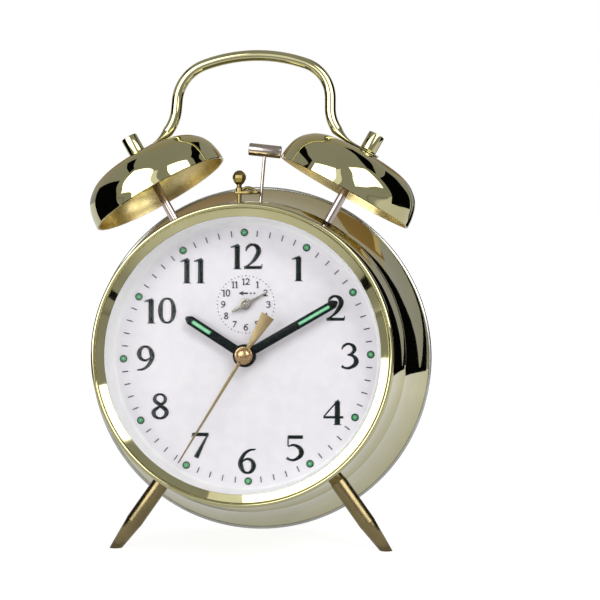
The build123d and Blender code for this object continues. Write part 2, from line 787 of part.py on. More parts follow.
def make_balance_staff():
    """Staff with the roller, its impulse pin and the hairspring's collet."""
    towards = radians(bearing(BALANCE, PALLET))
    pin = (BALANCE[0] + 1.8 * cos(towards), BALANCE[1] + 1.8 * sin(towards))
    with BuildPart() as piece:
        roller = (ROLLER_Y, ROLLER_Y + 0.8, 2.4)
        collet = (HAIRSPRING_Y - 0.3, HAIRSPRING_Y + 1.1, 1.4)
        for start, end, radius in between_plates(0.8) + [roller, collet]:
            with BuildSketch(facing(start, BALANCE)):
                Circle(radius)
            extrude(amount=start - end)
        with BuildSketch(facing(ESCAPE_Y - 0.1, pin)):
            Circle(0.3)
        extrude(amount=ESCAPE_Y - 0.1 - ROLLER_Y)
    return piece


# ------------------------------------------------------------------ hands
def along_hand(turn, outline):
    """Turn an outline of (distance along, distance across) to point at a clock angle."""
    a = radians(90 - turn)
    return [(u * cos(a) - v * sin(a), u * sin(a) + v * cos(a)) for u, v in outline]


def baton_hand(y, hand, bore, slot_length):
    """Straight hand with a chamfered tip, a slot for the luminous filling and a collet."""
    length, width, turn = hand
    half = width / 2
    right_side = [(0, -half), (length - 1.4, -half), (length, -0.35)]
    outline = right_side + [(u, -v) for u, v in reversed(right_side)]
    with BuildPart() as piece:
        with BuildSketch(facing(y)):
            with BuildLine():
                Polyline(*along_hand(turn, outline), close=True)
            make_face()
            Circle(3.4)
            with PolarLocations(length - slot_length / 2 - 2.4, 1, start_angle=90 - turn):
                SlotOverall(slot_length, LUME_WIDTH, mode=Mode.SUBTRACT)
            Circle(bore, mode=Mode.SUBTRACT)
        extrude(amount=-HAND_THICK)
        with BuildSketch(facing(y + HAND_THICK)):
            Circle(bore + 0.6)
            Circle(bore, mode=Mode.SUBTRACT)
        extrude(amount=-0.7)
    return piece


def make_second_hand():
    """Sweep needle with a broad tail, under a domed cap on the seconds arbor."""
    length, tail, turn = SECOND_HAND
    right_side = [(-tail, -2.3), (-3.0, -0.6), (0, -0.55), (length, -0.2)]
    outline = right_side + [(u, -v) for u, v in reversed(right_side)]
    with BuildPart() as piece:
        with BuildSketch(facing(SECOND_HAND_Y)):
            with BuildLine():
                Polyline(*along_hand(turn, outline), close=True)
            make_face()
            Circle(2.4)
            Circle(ARBOR, mode=Mode.SUBTRACT)
        extrude(amount=-0.25)
        with BuildSketch(facing(SECOND_HAND_Y - 1.9)):
            Circle(2.85)
        extrude(amount=-1.9)
        front = piece.faces().sort_by(turning_axis())[0]
        fillet(front.edges(), 1.5)
    return piece


def make_alarm_hand():
    """Small hand: a needle, a round hub and a tapered tail."""
    right_side = [(-5.0, -0.35), (-0.8, -1.6), (0.9, -1.2), (2.2, -0.4), (8.2, -0.2)]
    outline = right_side + [(u, -v) for u, v in reversed(right_side)]
    with BuildPart() as piece:
        with BuildSketch(facing(ALARM_HAND_Y, ALARM_HAND)):
            with BuildLine():
                Polyline(*along_hand(ALARM_HAND_TURN, outline), close=True)
            make_face()
            Circle(1.8)
            Circle(ARBOR, mode=Mode.SUBTRACT)
        extrude(amount=-0.35)
    return piece


# ------------------------------------------------------------------ keys and knobs
def make_key(at, turn):
    """Butterfly key: a round hub on the winding arbor and two flat wings."""
    hub = facing(KEY_FRONT, at)
    a = radians(turn)
    across = hub.x_dir * cos(a) + hub.y_dir * sin(a)
    wings = Plane(hub.origin, x_dir=across, z_dir=hub.z_dir.cross(across))
    with BuildPart() as piece:
        with BuildSketch(hub):
            Circle(3.2)
        extrude(amount=-7.4)
        with BuildSketch(wings.offset(-0.8)):
            with Locations((0, 8.6)):
                Rectangle(6.0, 5.2)
            with Locations((-5.0, 9.6), (5.0, 9.6)):
                Ellipse(4.8, 4.4)
            with Locations((-5.0, 9.6), (5.0, 9.6)):
                Ellipse(2.0, 1.8, mode=Mode.SUBTRACT)
        extrude(amount=1.6)
    return piece


def make_knob(at):
    """Round knob with a scalloped grip on the end of an arbor."""
    with BuildPart() as piece:
        with BuildSketch(facing(KNOB_FRONT, at)):
            Circle(KNOB_RADIUS)
            with PolarLocations(KNOB_RADIUS + 0.5, 16):
                Circle(0.9, mode=Mode.SUBTRACT)
        extrude(amount=-KNOB_DEPTH)
    return piece


# ------------------------------------------------------------------ build
os.makedirs("parts", exist_ok=True)
envelope = make_envelope()

deliver(make_case_shell(), "case_shell")
deliver(make_bezel(), "bezel")
deliver(make_glass(), "front_glass")
deliver(make_reflector(), "reflector_ring")
deliver(make_dial(), "dial")
deliver(make_back_cover(), "back_cover")
deliver(make_cover_screws(), "back_cover_screws")
for side, sign in (("left", -1), ("right", 1)):
    deliver(make_foot(sign * FOOT_ANGLE), f"{side}_foot")
    deliver(make_post(sign * BELL_ANGLE), f"{side}_bell_post")
    deliver(make_bell(sign * BELL_ANGLE), f"{side}_bell")
    deliver(make_bell_nut(sign * BELL_ANGLE), f"{side}_bell_nut")
deliver(make_handle(), "handle")

# frame of the movement
running_holes = [(MINUTE_ARBOR, ARBOR + RUNNING), (ALARM_HAND, ARBOR + RUNNING),
                 (TIME_WINDING, WINDING_ARBOR + RUNNING), (ALARM_WINDING, WINDING_ARBOR + RUNNING)]
pivoted = (THIRD, ESCAPE, PALLET, BALANCE, ALARM_ESCAPE, HAMMER)
pivot_holes = [(place, PIVOT_RADIUS + RUNNING) for place in pivoted]
front_holes = running_holes + pivot_holes + [(place, ARBOR + RUNNING) for place in (CENTRE, INTERMEDIATE)]
back_pivots = [(place, PIVOT_RADIUS + RUNNING) for place in (CENTRE, INTERMEDIATE)]
back_holes = running_holes + pivot_holes + back_pivots
deliver(make_plate(FRONT_PLATE, front_holes), "front_plate")
deliver(make_plate(BACK_PLATE, back_holes, slot=True), "back_plate")
deliver(make_pillars(), "pillars")
deliver(make_spacers(), "spacers")
deliver(make_regulator(), "regulator")

# motion work, between the dial and the front plate
to_minute = bearing(CENTRE, MINUTE_ARBOR)
minute_phase = meshed(12, to_minute, 36, to_minute)
slow_phase = bearing(MINUTE_ARBOR, CENTRE)
hour_phase = meshed(10, slow_phase, 40, slow_phase)
release_phase = meshed(40, hour_phase, 40, bearing(CENTRE, ALARM_HAND))
carry_phase = meshed(36, minute_phase, 12, bearing(MINUTE_ARBOR, INTERMEDIATE))
cannon_leaves = leaves(MINUTE_WHEEL_Y, THIN_WHEEL, 12, MOTION_FINE, to_minute)
slow_leaves = leaves(HOUR_WHEEL_Y, THIN_WHEEL, 10, MOTION_SLOW, slow_phase)
carry_leaves = leaves(MINUTE_WHEEL_Y, THIN_WHEEL, 12, MOTION_FINE, carry_phase)
minute_wheel = wheel(MINUTE_ARBOR, MINUTE_WHEEL_Y, THIN_WHEEL, 36, MOTION_FINE, minute_phase, ARBOR)
hour_wheel = wheel(CENTRE, HOUR_WHEEL_Y, THIN_WHEEL, 40, MOTION_SLOW, hour_phase, CANNON + RUNNING, hub=3.4)
release_wheel = wheel(ALARM_HAND, HOUR_WHEEL_Y, THIN_WHEEL, 40, MOTION_SLOW, release_phase, ARBOR + RUNNING)
deliver(arbor(CENTRE, [(-5.6, 5.6, CANNON)], [cannon_leaves], bore=ARBOR + RUNNING), "cannon_pinion")
deliver(minute_wheel, "minute_wheel")
deliver(arbor(MINUTE_ARBOR, [(1.4, KNOB_FRONT, ARBOR)], [slow_leaves]), "hand_set_arbor")
deliver(make_knob(MINUTE_ARBOR), "hand_set_knob")
deliver(hour_wheel, "hour_wheel")
deliver(arbor(CENTRE, [(-3.4, HOUR_WHEEL_Y, HOUR_TUBE)], bore=CANNON + RUNNING), "hour_tube")
deliver(release_wheel, "release_wheel")

# going train, between the plates
first_line = bearing(TIME_WINDING, INTERMEDIATE)
second_line = bearing(INTERMEDIATE, THIRD)
third_line = bearing(THIRD, CENTRE)
escape_line = bearing(CENTRE, ESCAPE)
drive_phase = meshed(GREAT_TEETH, first_line, 12, first_line)
third_phase = meshed(INTERMEDIATE_TEETH, second_line, 6, second_line)
seconds_phase = meshed(THIRD_TEETH, third_line, 6, third_line)
escape_phase = meshed(SECONDS_TEETH, escape_line, 6, escape_line)
drive_leaves = leaves(GREAT_Y, THICK_WHEEL, 12, DRIVE_MODULE, drive_phase)
third_leaves = leaves(INTERMEDIATE_Y, THIN_WHEEL, 6, TRAIN_MODULE, third_phase)
seconds_leaves = leaves(THIRD_Y, THIN_WHEEL, 6, TRAIN_MODULE, seconds_phase)
escape_leaves = leaves(SECONDS_Y, THIN_WHEEL, 6, ESCAPE_MODULE, escape_phase)
through_plate = [(FRONT_PLATE + 1.3, BACK_PLATE - 0.1, ARBOR + 0.1),
                 (BACK_PLATE - 0.1, BACK_PLATE + PLATE_THICK, PIVOT_RADIUS)]
intermediate_steps = [(MINUTE_WHEEL_Y - 0.6, FRONT_PLATE + 1.3, ARBOR)] + through_plate
seconds_steps = [(SECOND_HAND_Y, FRONT_PLATE + 1.3, ARBOR)] + through_plate
great_wheel = wheel(TIME_WINDING, GREAT_Y, THICK_WHEEL, GREAT_TEETH, DRIVE_MODULE, first_line,
                    WINDING_ARBOR + RUNNING, hub=4.0)
intermediate_wheel = wheel(INTERMEDIATE, INTERMEDIATE_Y, THIN_WHEEL, INTERMEDIATE_TEETH, TRAIN_MODULE,
                           second_line, ARBOR + 0.1)
third_wheel = wheel(THIRD, THIRD_Y, THIN_WHEEL, THIRD_TEETH, TRAIN_MODULE, third_line, 0.7)
seconds_wheel = wheel(CENTRE, SECONDS_Y, THIN_WHEEL, SECONDS_TEETH, ESCAPE_MODULE, escape_line, ARBOR + 0.1)
deliver(great_wheel, "great_wheel")
deliver(arbor(TIME_WINDING, [(FRONT_PLATE, KEY_FRONT, WINDING_ARBOR)]), "winding_arbor")
deliver(ribbon(TIME_WINDING, SPRING_Y, 9.6, 2.6, 10.6, 5, 0.4), "mainspring")
deliver(arbor(INTERMEDIATE, intermediate_steps, [carry_leaves, drive_leaves]), "intermediate_arbor")
deliver(intermediate_wheel, "intermediate_wheel")
deliver(arbor(THIRD, between_plates(0.7), [third_leaves]), "third_arbor")
deliver(third_wheel, "third_wheel")
deliver(arbor(CENTRE, seconds_steps, [seconds_leaves]), "seconds_arbor")
deliver(seconds_wheel, "seconds_wheel")
deliver(arbor(ESCAPE, between_plates(0.6), [escape_leaves]), "escape_arbor")
deliver(escape_wheel(ESCAPE, ESCAPE_Y, 15, 6.0, 0.6), "escape_wheel")
deliver(make_pallet_lever(), "pallet_lever")
deliver(make_balance_wheel(), "balance_wheel")
deliver(make_balance_staff(), "balance_staff")
deliver(ribbon(BALANCE, HAIRSPRING_Y, 0.8, 1.45, 5.1, 4, 0.15), "hairspring")

# alarm train
alarm_line = bearing(ALARM_WINDING, ALARM_ESCAPE)
alarm_phase = meshed(GREAT_TEETH, alarm_line, 8, alarm_line)
alarm_leaves = leaves(GREAT_Y, THICK_WHEEL, 8, DRIVE_MODULE, alarm_phase)
alarm_great_wheel = wheel(ALARM_WINDING, GREAT_Y, THICK_WHEEL, GREAT_TEETH, DRIVE_MODULE, alarm_line,
                          WINDING_ARBOR + RUNNING, hub=4.0)
deliver(alarm_great_wheel, "alarm_great_wheel")
deliver(arbor(ALARM_WINDING, [(FRONT_PLATE, KEY_FRONT, WINDING_ARBOR)]), "alarm_winding_arbor")
deliver(ribbon(ALARM_WINDING, SPRING_Y, 9.6, 2.6, 10.6, 5, 0.4), "alarm_mainspring")
deliver(arbor(ALARM_ESCAPE, between_plates(0.8), [alarm_leaves]), "alarm_escape_arbor")
deliver(escape_wheel(ALARM_ESCAPE, VERGE_Y, 12, 4.5, 0.8), "alarm_escape_wheel")
deliver(arbor(ALARM_HAND, [(ALARM_HAND_Y - 0.3, KNOB_FRONT, ARBOR)]), "alarm_set_arbor")
deliver(make_knob(ALARM_HAND), "alarm_set_knob")
deliver(make_hammer_arbor(), "hammer_arbor")
deliver(make_hammer_rod(), "hammer_rod")
deliver(make_hammer_head(), "hammer_head")
deliver(make_alarm_stop(), "alarm_stop")

# hands, keys
deliver(make_alarm_hand(), "alarm_hand")
deliver(baton_hand(HOUR_HAND_Y, HOUR_HAND, HOUR_TUBE, 6.9), "hour_hand")
deliver(baton_hand(MINUTE_HAND_Y, MINUTE_HAND, CANNON, 11.0), "minute_hand")
deliver(make_second_hand(), "second_hand")
deliver(make_key(TIME_WINDING, 20), "time_key")
deliver(make_key(ALARM_WINDING, -25), "alarm_key")
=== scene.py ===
"""Dresses a leaning twin-bell winding alarm clock in brass, steel, card and enamel."""
import json
import logging
from collections.abc import Callable, Iterator
from contextlib import contextmanager
from dataclasses import dataclass, field
from enum import Enum
from math import asin, cos, pi, radians, sin, tan

import bpy
from mathutils import Matrix, Vector


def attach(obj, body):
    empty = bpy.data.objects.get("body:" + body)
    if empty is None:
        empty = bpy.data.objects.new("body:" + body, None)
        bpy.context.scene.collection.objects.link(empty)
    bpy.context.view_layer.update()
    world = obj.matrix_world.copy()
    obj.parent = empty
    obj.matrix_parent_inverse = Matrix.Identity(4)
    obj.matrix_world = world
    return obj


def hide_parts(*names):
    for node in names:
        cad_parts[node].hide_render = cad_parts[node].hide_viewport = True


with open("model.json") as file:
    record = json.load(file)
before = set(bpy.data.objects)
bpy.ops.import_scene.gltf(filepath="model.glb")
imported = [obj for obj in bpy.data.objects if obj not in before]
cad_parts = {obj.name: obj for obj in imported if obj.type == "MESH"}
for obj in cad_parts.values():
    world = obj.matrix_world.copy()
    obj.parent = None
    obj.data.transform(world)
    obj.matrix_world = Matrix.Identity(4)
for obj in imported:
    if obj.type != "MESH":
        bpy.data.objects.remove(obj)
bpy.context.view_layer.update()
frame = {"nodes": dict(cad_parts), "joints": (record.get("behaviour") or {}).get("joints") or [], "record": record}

logging.basicConfig(level=logging.INFO, format="%(message)s")
LOG = logging.getLogger("clock")
MM = 0.001
Piece = bpy.types.Object
Socket = bpy.types.NodeSocket
Pair = tuple[float, float]
Triple = tuple[float, float, float]


# ---- frame and modelling bench
class Bend(Enum):
    """How an outline passes through one of its points."""

    CORNER = "VECTOR"
    SMOOTH = "AUTO"
    FREE = "FREE"


class Side(Enum):
    """The two sides of the clock, seen from in front of the dial."""

    LEFT = -1
    RIGHT = 1

    @property
    def word(self) -> str:
        """Name of the side as it stands in node names."""
        return self.name.lower()


@dataclass(frozen=True)
class Knot:
    """A point of a drawn line: across and up the drawing, with its half width."""

    across: float
    up: float
    bend: Bend = Bend.CORNER
    half: float = 1.0
    reach_in: Pair = (0.0, 0.0)
    reach_out: Pair = (0.0, 0.0)

    def flipped(self) -> "Knot":
        """The same point on the other side of the upright axis, passed in the other direction."""
        reaches = [(-across, up) for across, up in (self.reach_out, self.reach_in)]
        return Knot(-self.across, self.up, self.bend, self.half, *reaches)


Line = list[Knot | Pair]


def smooth(across: float, up: float) -> Knot:
    """A point that an outline rounds through; a plain pair is a sharp one."""
    return Knot(across, up, Bend.SMOOTH)


def free(across: float, up: float, reach_in: Pair = (0.0, 0.0), reach_out: Pair = (0.0, 0.0)) -> Knot:
    """A point with handles of its own, given from the point."""
    return Knot(across, up, Bend.FREE, 1.0, reach_in, reach_out)


def mirrored(*right: Knot | Pair) -> Line:
    """A symmetric outline, from its right half given from the top down."""
    knots = [point if isinstance(point, Knot) else Knot(*point) for point in right]
    return knots + [knot.flipped() for knot in reversed(knots) if knot.across]


def moved(x: float, y: float, z: float) -> Matrix:
    """A move."""
    return Matrix.Translation((x, y, z))


def turned(axis: str, degrees: float) -> Matrix:
    """A turn about an axis."""
    return Matrix.Rotation(radians(degrees), 4, axis)


@dataclass(frozen=True)
class CaseFrame:
    """The clock's own leaning frame: x right, y into the clock, z up, in millimetres."""

    matrix: Matrix
    FACE_DEPTH = 5.0

    @classmethod
    def from_joints(cls, joints: list[dict]) -> "CaseFrame":
        """Find the dial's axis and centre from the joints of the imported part.

        Args:
            joints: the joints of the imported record.

        Returns:
            The frame whose origin is the centre of the dial's face.
        """
        named = {joint["name"]: joint for joint in joints}
        into = Vector(named["minute_hand_spin"]["axis"]).normalized()
        upward = Vector(named["alarm_stop_turn"]["axis"]).normalized()
        centre = Vector(named["minute_hand_spin"]["pos_m"]) + into * cls.FACE_DEPTH * MM
        turn = Matrix((into.cross(upward), into, upward)).transposed().to_4x4()
        return cls(Matrix.Translation(centre) @ turn @ Matrix.Scale(MM, 4))

    def on_dial_axis(self) -> Matrix:
        """Place of a turned piece whose axis runs into the clock through the dial's centre."""
        return Matrix(((1, 0, 0), (0, 0, -1), (0, 1, 0))).transposed().to_4x4()

    def on_spoke(self, angle: float, y: float) -> Matrix:
        """Place of a turned piece whose axis leaves the dial's centre at a clock angle.

        Args:
            angle: degrees clockwise from twelve.
            y: depth of the axis behind the dial's face.

        Returns:
            The place, with z outwards along the spoke and y into the clock.
        """
        a = radians(angle)
        axes = Matrix(((cos(a), 0, -sin(a)), (0, 1, 0), (sin(a), 0, cos(a))))
        return moved(0, y, 0) @ axes.transposed().to_4x4()


CASE = CaseFrame.from_joints(frame["joints"])


class Bench:
    """The modelling steps that the pieces share, all in a drawing's own millimetres."""

    GAP = 1e-3
    FINE_GAP = 1e-4
    SHARP = 40.0

    @staticmethod
    def pick(*pieces: Piece) -> None:
        """Select some pieces.

        Args:
            *pieces: the pieces to select, of which the first becomes active.
        """
        bpy.ops.object.select_all(action="DESELECT")
        for piece in reversed(pieces):
            piece.select_set(True)
            bpy.context.view_layer.objects.active = piece

    @classmethod
    def start(cls, name: str, add: Callable[..., object], **settings: object) -> Piece:
        """Add one of Blender's basic shapes under a name.

        Args:
            name: the name.
            add: the operator that adds it.
            **settings: the operator's settings.

        Returns:
            The new object.
        """
        cls.pick()
        add(**settings)
        bpy.context.object.name = name
        return bpy.context.object

    @classmethod
    @contextmanager
    def editing(cls, piece: Piece, gap: float = 0.0, sharp: float = 0.0) -> Iterator[None]:
        """Open the whole mesh of a piece for editing, then turn its faces outwards.

        Args:
            piece: the piece.
            gap: points nearer than this are merged at the end; none when 0.
            sharp: edges that turn more than this, in degrees, stay sharp; no smooth shading when 0.

        Returns:
            Nothing to use: the edits stand in the block.
        """
        cls.pick(piece)
        bpy.ops.object.mode_set(mode="EDIT")
        bpy.ops.mesh.select_all(action="SELECT")
        yield
        bpy.ops.mesh.select_all(action="SELECT")
        if gap:
            bpy.ops.mesh.remove_doubles(threshold=gap)
        bpy.ops.mesh.normals_make_consistent(inside=False)
        bpy.ops.object.mode_set(mode="OBJECT")
        if sharp:
            cls.soften(piece, sharp)

    @classmethod
    def soften(cls, piece: Piece, sharp: float) -> None:
        """Smooth the shading of a piece except across edges sharper than an angle."""
        cls.pick(piece)
        bpy.ops.object.shade_smooth_by_angle(angle=radians(sharp))

    @staticmethod
    def apply_place() -> None:
        """Put the active piece's place into its mesh."""
        bpy.ops.object.transform_apply(location=True, rotation=True, scale=True)

    @classmethod
    def draw(cls, name: str, knots: Line, closed: bool = False, steps: int = 8) -> Piece:
        """Draw a line of knots in the xz plane.

        Args:
            name: name of the piece it will become.
            knots: the points of the line.
            closed: whether the last knot joins the first.
            steps: divisions of each smooth run.

        Returns:
            The curve object.
        """
        line = cls.start(name, bpy.ops.curve.primitive_bezier_curve_add)
        line.data.dimensions = "3D"
        spline = line.data.splines[0]
        spline.bezier_points.add(len(knots) - 2)
        for point, knot in zip(spline.bezier_points, knots):
            knot = knot if isinstance(knot, Knot) else Knot(*knot)
            point.handle_left_type = point.handle_right_type = knot.bend.value
            point.co = (knot.across, 0, knot.up)
            point.radius = knot.half
            if knot.bend is Bend.FREE:
                point.handle_left = point.co + Vector((knot.reach_in[0], 0, knot.reach_in[1]))
                point.handle_right = point.co + Vector((knot.reach_out[0], 0, knot.reach_out[1]))
        spline.use_cyclic_u = closed
        spline.resolution_u = steps
        return line

    @classmethod
    def to_mesh(cls, piece: Piece, welded: bool = True) -> Piece:
        """Turn a curve into a mesh, in place.

        Args:
            piece: the curve.
            welded: whether its doubled points are merged and its shading smoothed.

        Returns:
            The mesh.
        """
        cls.pick(piece)
        bpy.ops.object.convert(target="MESH")
        if welded:
            with cls.editing(bpy.context.object, cls.FINE_GAP, cls.SHARP):
                pass
        return bpy.context.object

    @classmethod
    def lathe(cls, name: str, knots: Line, rounds: int = 160, steps: int = 8, sharp: float = 32.0) -> Piece:
        """Spin an outline of (radius, height) about the z axis.

        Args:
            name: name of the piece.
            knots: the outline, a closed wall unless it starts on the axis.
            rounds: divisions of a full turn.
            steps: divisions of each smooth run of the outline.
            sharp: edges that turn more than this, in degrees, stay sharp.

        Returns:
            The turned mesh, with its normals outwards.
        """
        piece = cls.to_mesh(cls.draw(name, knots, knots[0][0] > 0, steps), False)
        with cls.editing(piece, cls.GAP, sharp):
            bpy.ops.mesh.spin(steps=rounds, angle=2 * pi, center=(0, 0, 0), axis=(0, 0, 1))
        return piece

    @classmethod
    def sheet(cls, name: str, knots: Line, thick: float, edge: float = 0.0, steps: int = 6) -> Piece:
        """Cut a flat shape from sheet, centred on the xz plane.

        Args:
            name: name of the piece.
            knots: its outline.
            thick: thickness of the sheet.
            edge: width of the bevel on its edges.
            steps: divisions of each smooth run.

        Returns:
            The mesh.
        """
        shape = cls.draw(name, knots, True, steps)
        shape.data.transform(turned("X", -90))
        shape.data.dimensions = "2D"
        shape.data.fill_mode = "BOTH"
        shape.data.extrude = thick / 2 - edge
        shape.data.bevel_depth = edge
        shape.data.bevel_resolution = 1
        piece = cls.to_mesh(shape)
        piece.data.transform(turned("X", 90))
        return piece

    @classmethod
    def bar(cls, name: str, knots: Line, radius: float, closed: bool = False,
            steps: int = 8, round_steps: int = 6) -> Piece:
        """Bend a round bar along a line; each knot's half scales its radius.

        Args:
            name: name of the piece.
            knots: its centre line.
            radius: its radius where a knot's half is 1.
            closed: whether it is a ring.
            steps: divisions of each smooth run.
            round_steps: divisions of a quarter round.

        Returns:
            The mesh.
        """
        line = cls.draw(name, knots, closed, steps)
        line.data.bevel_depth = radius
        line.data.bevel_resolution = round_steps
        line.data.use_fill_caps = True
        return cls.to_mesh(line)

    @classmethod
    def join(cls, name: str, pieces: list[Piece]) -> Piece:
        """Join pieces into one object of this name.

        Args:
            name: the name.
            pieces: the pieces, of which the first lends its place.

        Returns:
            The joined piece.
        """
        cls.pick(*pieces)
        if len(pieces) > 1:
            bpy.ops.object.join()
        bpy.context.object.name = name
        return bpy.context.object

    @classmethod
    def place(cls, piece: Piece, place: Matrix) -> None:
        """Carry a finished drawing to its place on the standing clock, in metres.

        Args:
            piece: the drawing.
            place: its place in the case's frame.
        """
        piece.matrix_world = CASE.matrix @ place
        cls.pick(piece)
        cls.apply_place()


# ---- finishes
def colour(code: str) -> tuple[float, float, float, float]:
    """Linear colour, with full cover, of a code of two figures each for red, green and blue."""
    parts = [int(code[i:i + 2], 16) / 255 for i in (0, 2, 4)]
    return (*(c / 12.92 if c <= 0.04045 else ((c + 0.055) / 1.055) ** 2.4 for c in parts), 1.0)


class Desk:
    """Lays out shader nodes on a tree."""

    def __init__(self, tree: bpy.types.NodeTree) -> None:
        """Start on a tree."""
        self.tree = tree

    def feed(self, target: Socket, value: object) -> None:
        """Link an output to an input, or set the input's constant.

        Args:
            target: the input.
            value: the output or the constant.
        """
        if isinstance(value, Socket):
            self.tree.links.new(value, target)
        else:
            target.default_value = value

    def add(self, kind: str, *feeds: object, out: str | int = 0, mode: str = "", **named: object) -> Socket:
        """Add a node and feed its inputs.

        Args:
            kind: the node's type after ShaderNode.
            *feeds: links or constants of its first inputs.
            out: which output to give back.
            mode: its operation, where it has a choice.
            **named: links or constants by input name, with _ for a space.

        Returns:
            The output.
        """
        node = self.tree.nodes.new(f"ShaderNode{kind}")
        if mode:
            node.operation = mode
        for key, value in [*enumerate(feeds), *((key.replace("_", " "), value) for key, value in named.items())]:
            self.feed(node.inputs[key], value)
        return node.outputs[out]

    def split(self, plain: Socket, seen: Socket, output: str) -> None:
        """Show one shader to the camera, mirrors and glass, and another to the rest.

        Args:
            plain: what lights the object.
            seen: what the camera, mirrors and glass see.
            output: name of the tree's output node.
        """
        path = self.add("LightPath").node
        either = path.outputs["Is Camera Ray"]
        for ray in ("Is Glossy Ray", "Is Transmission Ray"):
            either = self.add("Math", either, path.outputs[ray], mode="MAXIMUM")
        self.feed(self.tree.nodes[output].inputs["Surface"], self.add("MixShader", either, plain, seen))


class MaterialDesk(Desk):
    """Lays out the nodes of one new material."""

    STOPS = (0.35, 0.65)
    RELIEF_DEPTH = 0.05 * MM

    def __init__(self, name: str) -> None:
        """Start a material with its shader and the object's coordinates.

        Args:
            name: the material's name.
        """
        self.material = bpy.data.materials.new(name)
        self.material.use_nodes = True
        super().__init__(self.material.node_tree)
        self.shader = self.tree.nodes["Principled BSDF"]
        self.where = self.add("TexCoord", out="Object")

    def dress(self, **named: object) -> None:
        """Feed inputs of the main shader, named with _ for a space."""
        for key, value in named.items():
            self.feed(self.shader.inputs[key.replace("_", " ")], value)

    def noise(self, scale: float, detail: float = 3.0, vector: Socket | None = None) -> Socket:
        """Noise with so many repeats in a metre, on the object's own coordinates or others."""
        return self.add("TexNoise", Scale=scale, Detail=detail, Vector=vector or self.where)

    def ramp(self, value: Socket, low: str, high: str) -> Socket:
        """Colours from low to high as a value goes through its middle range.

        Args:
            value: the value.
            low: code of the first colour.
            high: code of the second colour.

        Returns:
            The colour.
        """
        mixed = self.add("ValToRGB", Fac=value)
        for stop, position, code in zip(mixed.node.color_ramp.elements, self.STOPS, (low, high)):
            stop.position, stop.color = position, colour(code)
        return mixed

    def span(self, value: Socket, low: float, high: float, start: float = 0.3, end: float = 0.7) -> Socket:
        """Numbers from low to high as a value goes from start to end."""
        return self.add("MapRange", Value=value, From_Min=start, From_Max=end, To_Min=low, To_Max=high)

    def relief(self, height: Socket, strength: float) -> None:
        """Put a height on the shader as fine relief."""
        self.dress(Normal=self.add("Bump", Strength=strength, Distance=self.RELIEF_DEPTH, Height=height))


@dataclass(frozen=True)
class Finish:
    """A surface finish: its name and the record's slot that it belongs to."""

    name: str
    slot: str

    def material(self) -> bpy.types.Material:
        """The finish's material, made the first time it is asked for.

        Returns:
            The material.
        """
        title = f"finish_{self.name}"
        if title not in bpy.data.materials:
            self.lay(MaterialDesk(title))
        return bpy.data.materials[title]

    def lay(self, desk: MaterialDesk) -> None:
        """Lay the finish's nodes on a desk."""
        raise NotImplementedError


@dataclass(frozen=True)
class Metal(Finish):
    """Bare or plated metal with faint clouding, fine polishing lines and a soft sheen."""

    light: str
    dark: str
    gloss: float
    dull: float
    lines: float = 0.03
    cloud: float = 90.0
    fine: float = 900.0
    stretch: float = 9.0
    lean: float = radians(8.0)

    def lay(self, desk: MaterialDesk) -> None:
        """Lay cloudy colour, uneven gloss and polishing lines.

        Args:
            desk: the material's desk.
        """
        desk.dress(Base_Color=desk.ramp(desk.noise(self.cloud), self.dark, self.light), Metallic=1.0,
                   Roughness=desk.span(desk.noise(self.cloud * 7, 5.0), self.gloss, self.dull))
        along = desk.add("Mapping", Vector=desk.where, Scale=(1.0, self.stretch, 1.0), Rotation=(self.lean, 0, 0))
        desk.relief(desk.noise(self.fine, 2.0, along), self.lines)


@dataclass(frozen=True)
class Coat(Finish):
    """Paint, print or enamel: a main colour with faint mottling."""

    main: str
    second: str
    roughness: float
    grain: float = 400.0
    relief: float = 0.05
    clear_layer: float = 0.0
    shine: float = 0.5

    def lay(self, desk: MaterialDesk) -> None:
        """Lay mottled colour, a little grain and a clear top layer.

        Args:
            desk: the material's desk.
        """
        desk.dress(Base_Color=desk.ramp(desk.noise(self.grain), self.second, self.main),
                   Roughness=desk.span(desk.noise(self.grain * 3), self.roughness * 0.85, self.roughness * 1.15),
                   Specular_IOR_Level=self.shine, Coat_Weight=self.clear_layer, Coat_Roughness=0.08)
        desk.relief(desk.noise(self.grain * 6, 2.0), self.relief)


@dataclass(frozen=True)
class Glow(Coat):
    """Luminous paint, which gives back a little more light than it gets."""

    strength: float = 0.15

    def lay(self, desk: MaterialDesk) -> None:
        """Lay the paint with a faint light of its own."""
        super().lay(desk)
        desk.dress(Emission_Color=colour(self.main), Emission_Strength=self.strength)


@dataclass(frozen=True)
class Crystal(Finish):
    """Clear flat glass with the faintest smear."""

    veil: float = 0.06

    def lay(self, desk: MaterialDesk) -> None:
        """Lay a nearly clear glossy pane.

        Args:
            desk: the material's desk.
        """
        smear = desk.noise(60.0)
        desk.dress(Base_Color=desk.ramp(smear, "f4f6f6", "ffffff"), Roughness=desk.span(smear, 0.02, 0.06),
                   Alpha=self.veil, Transmission_Weight=1.0, IOR=1.5)


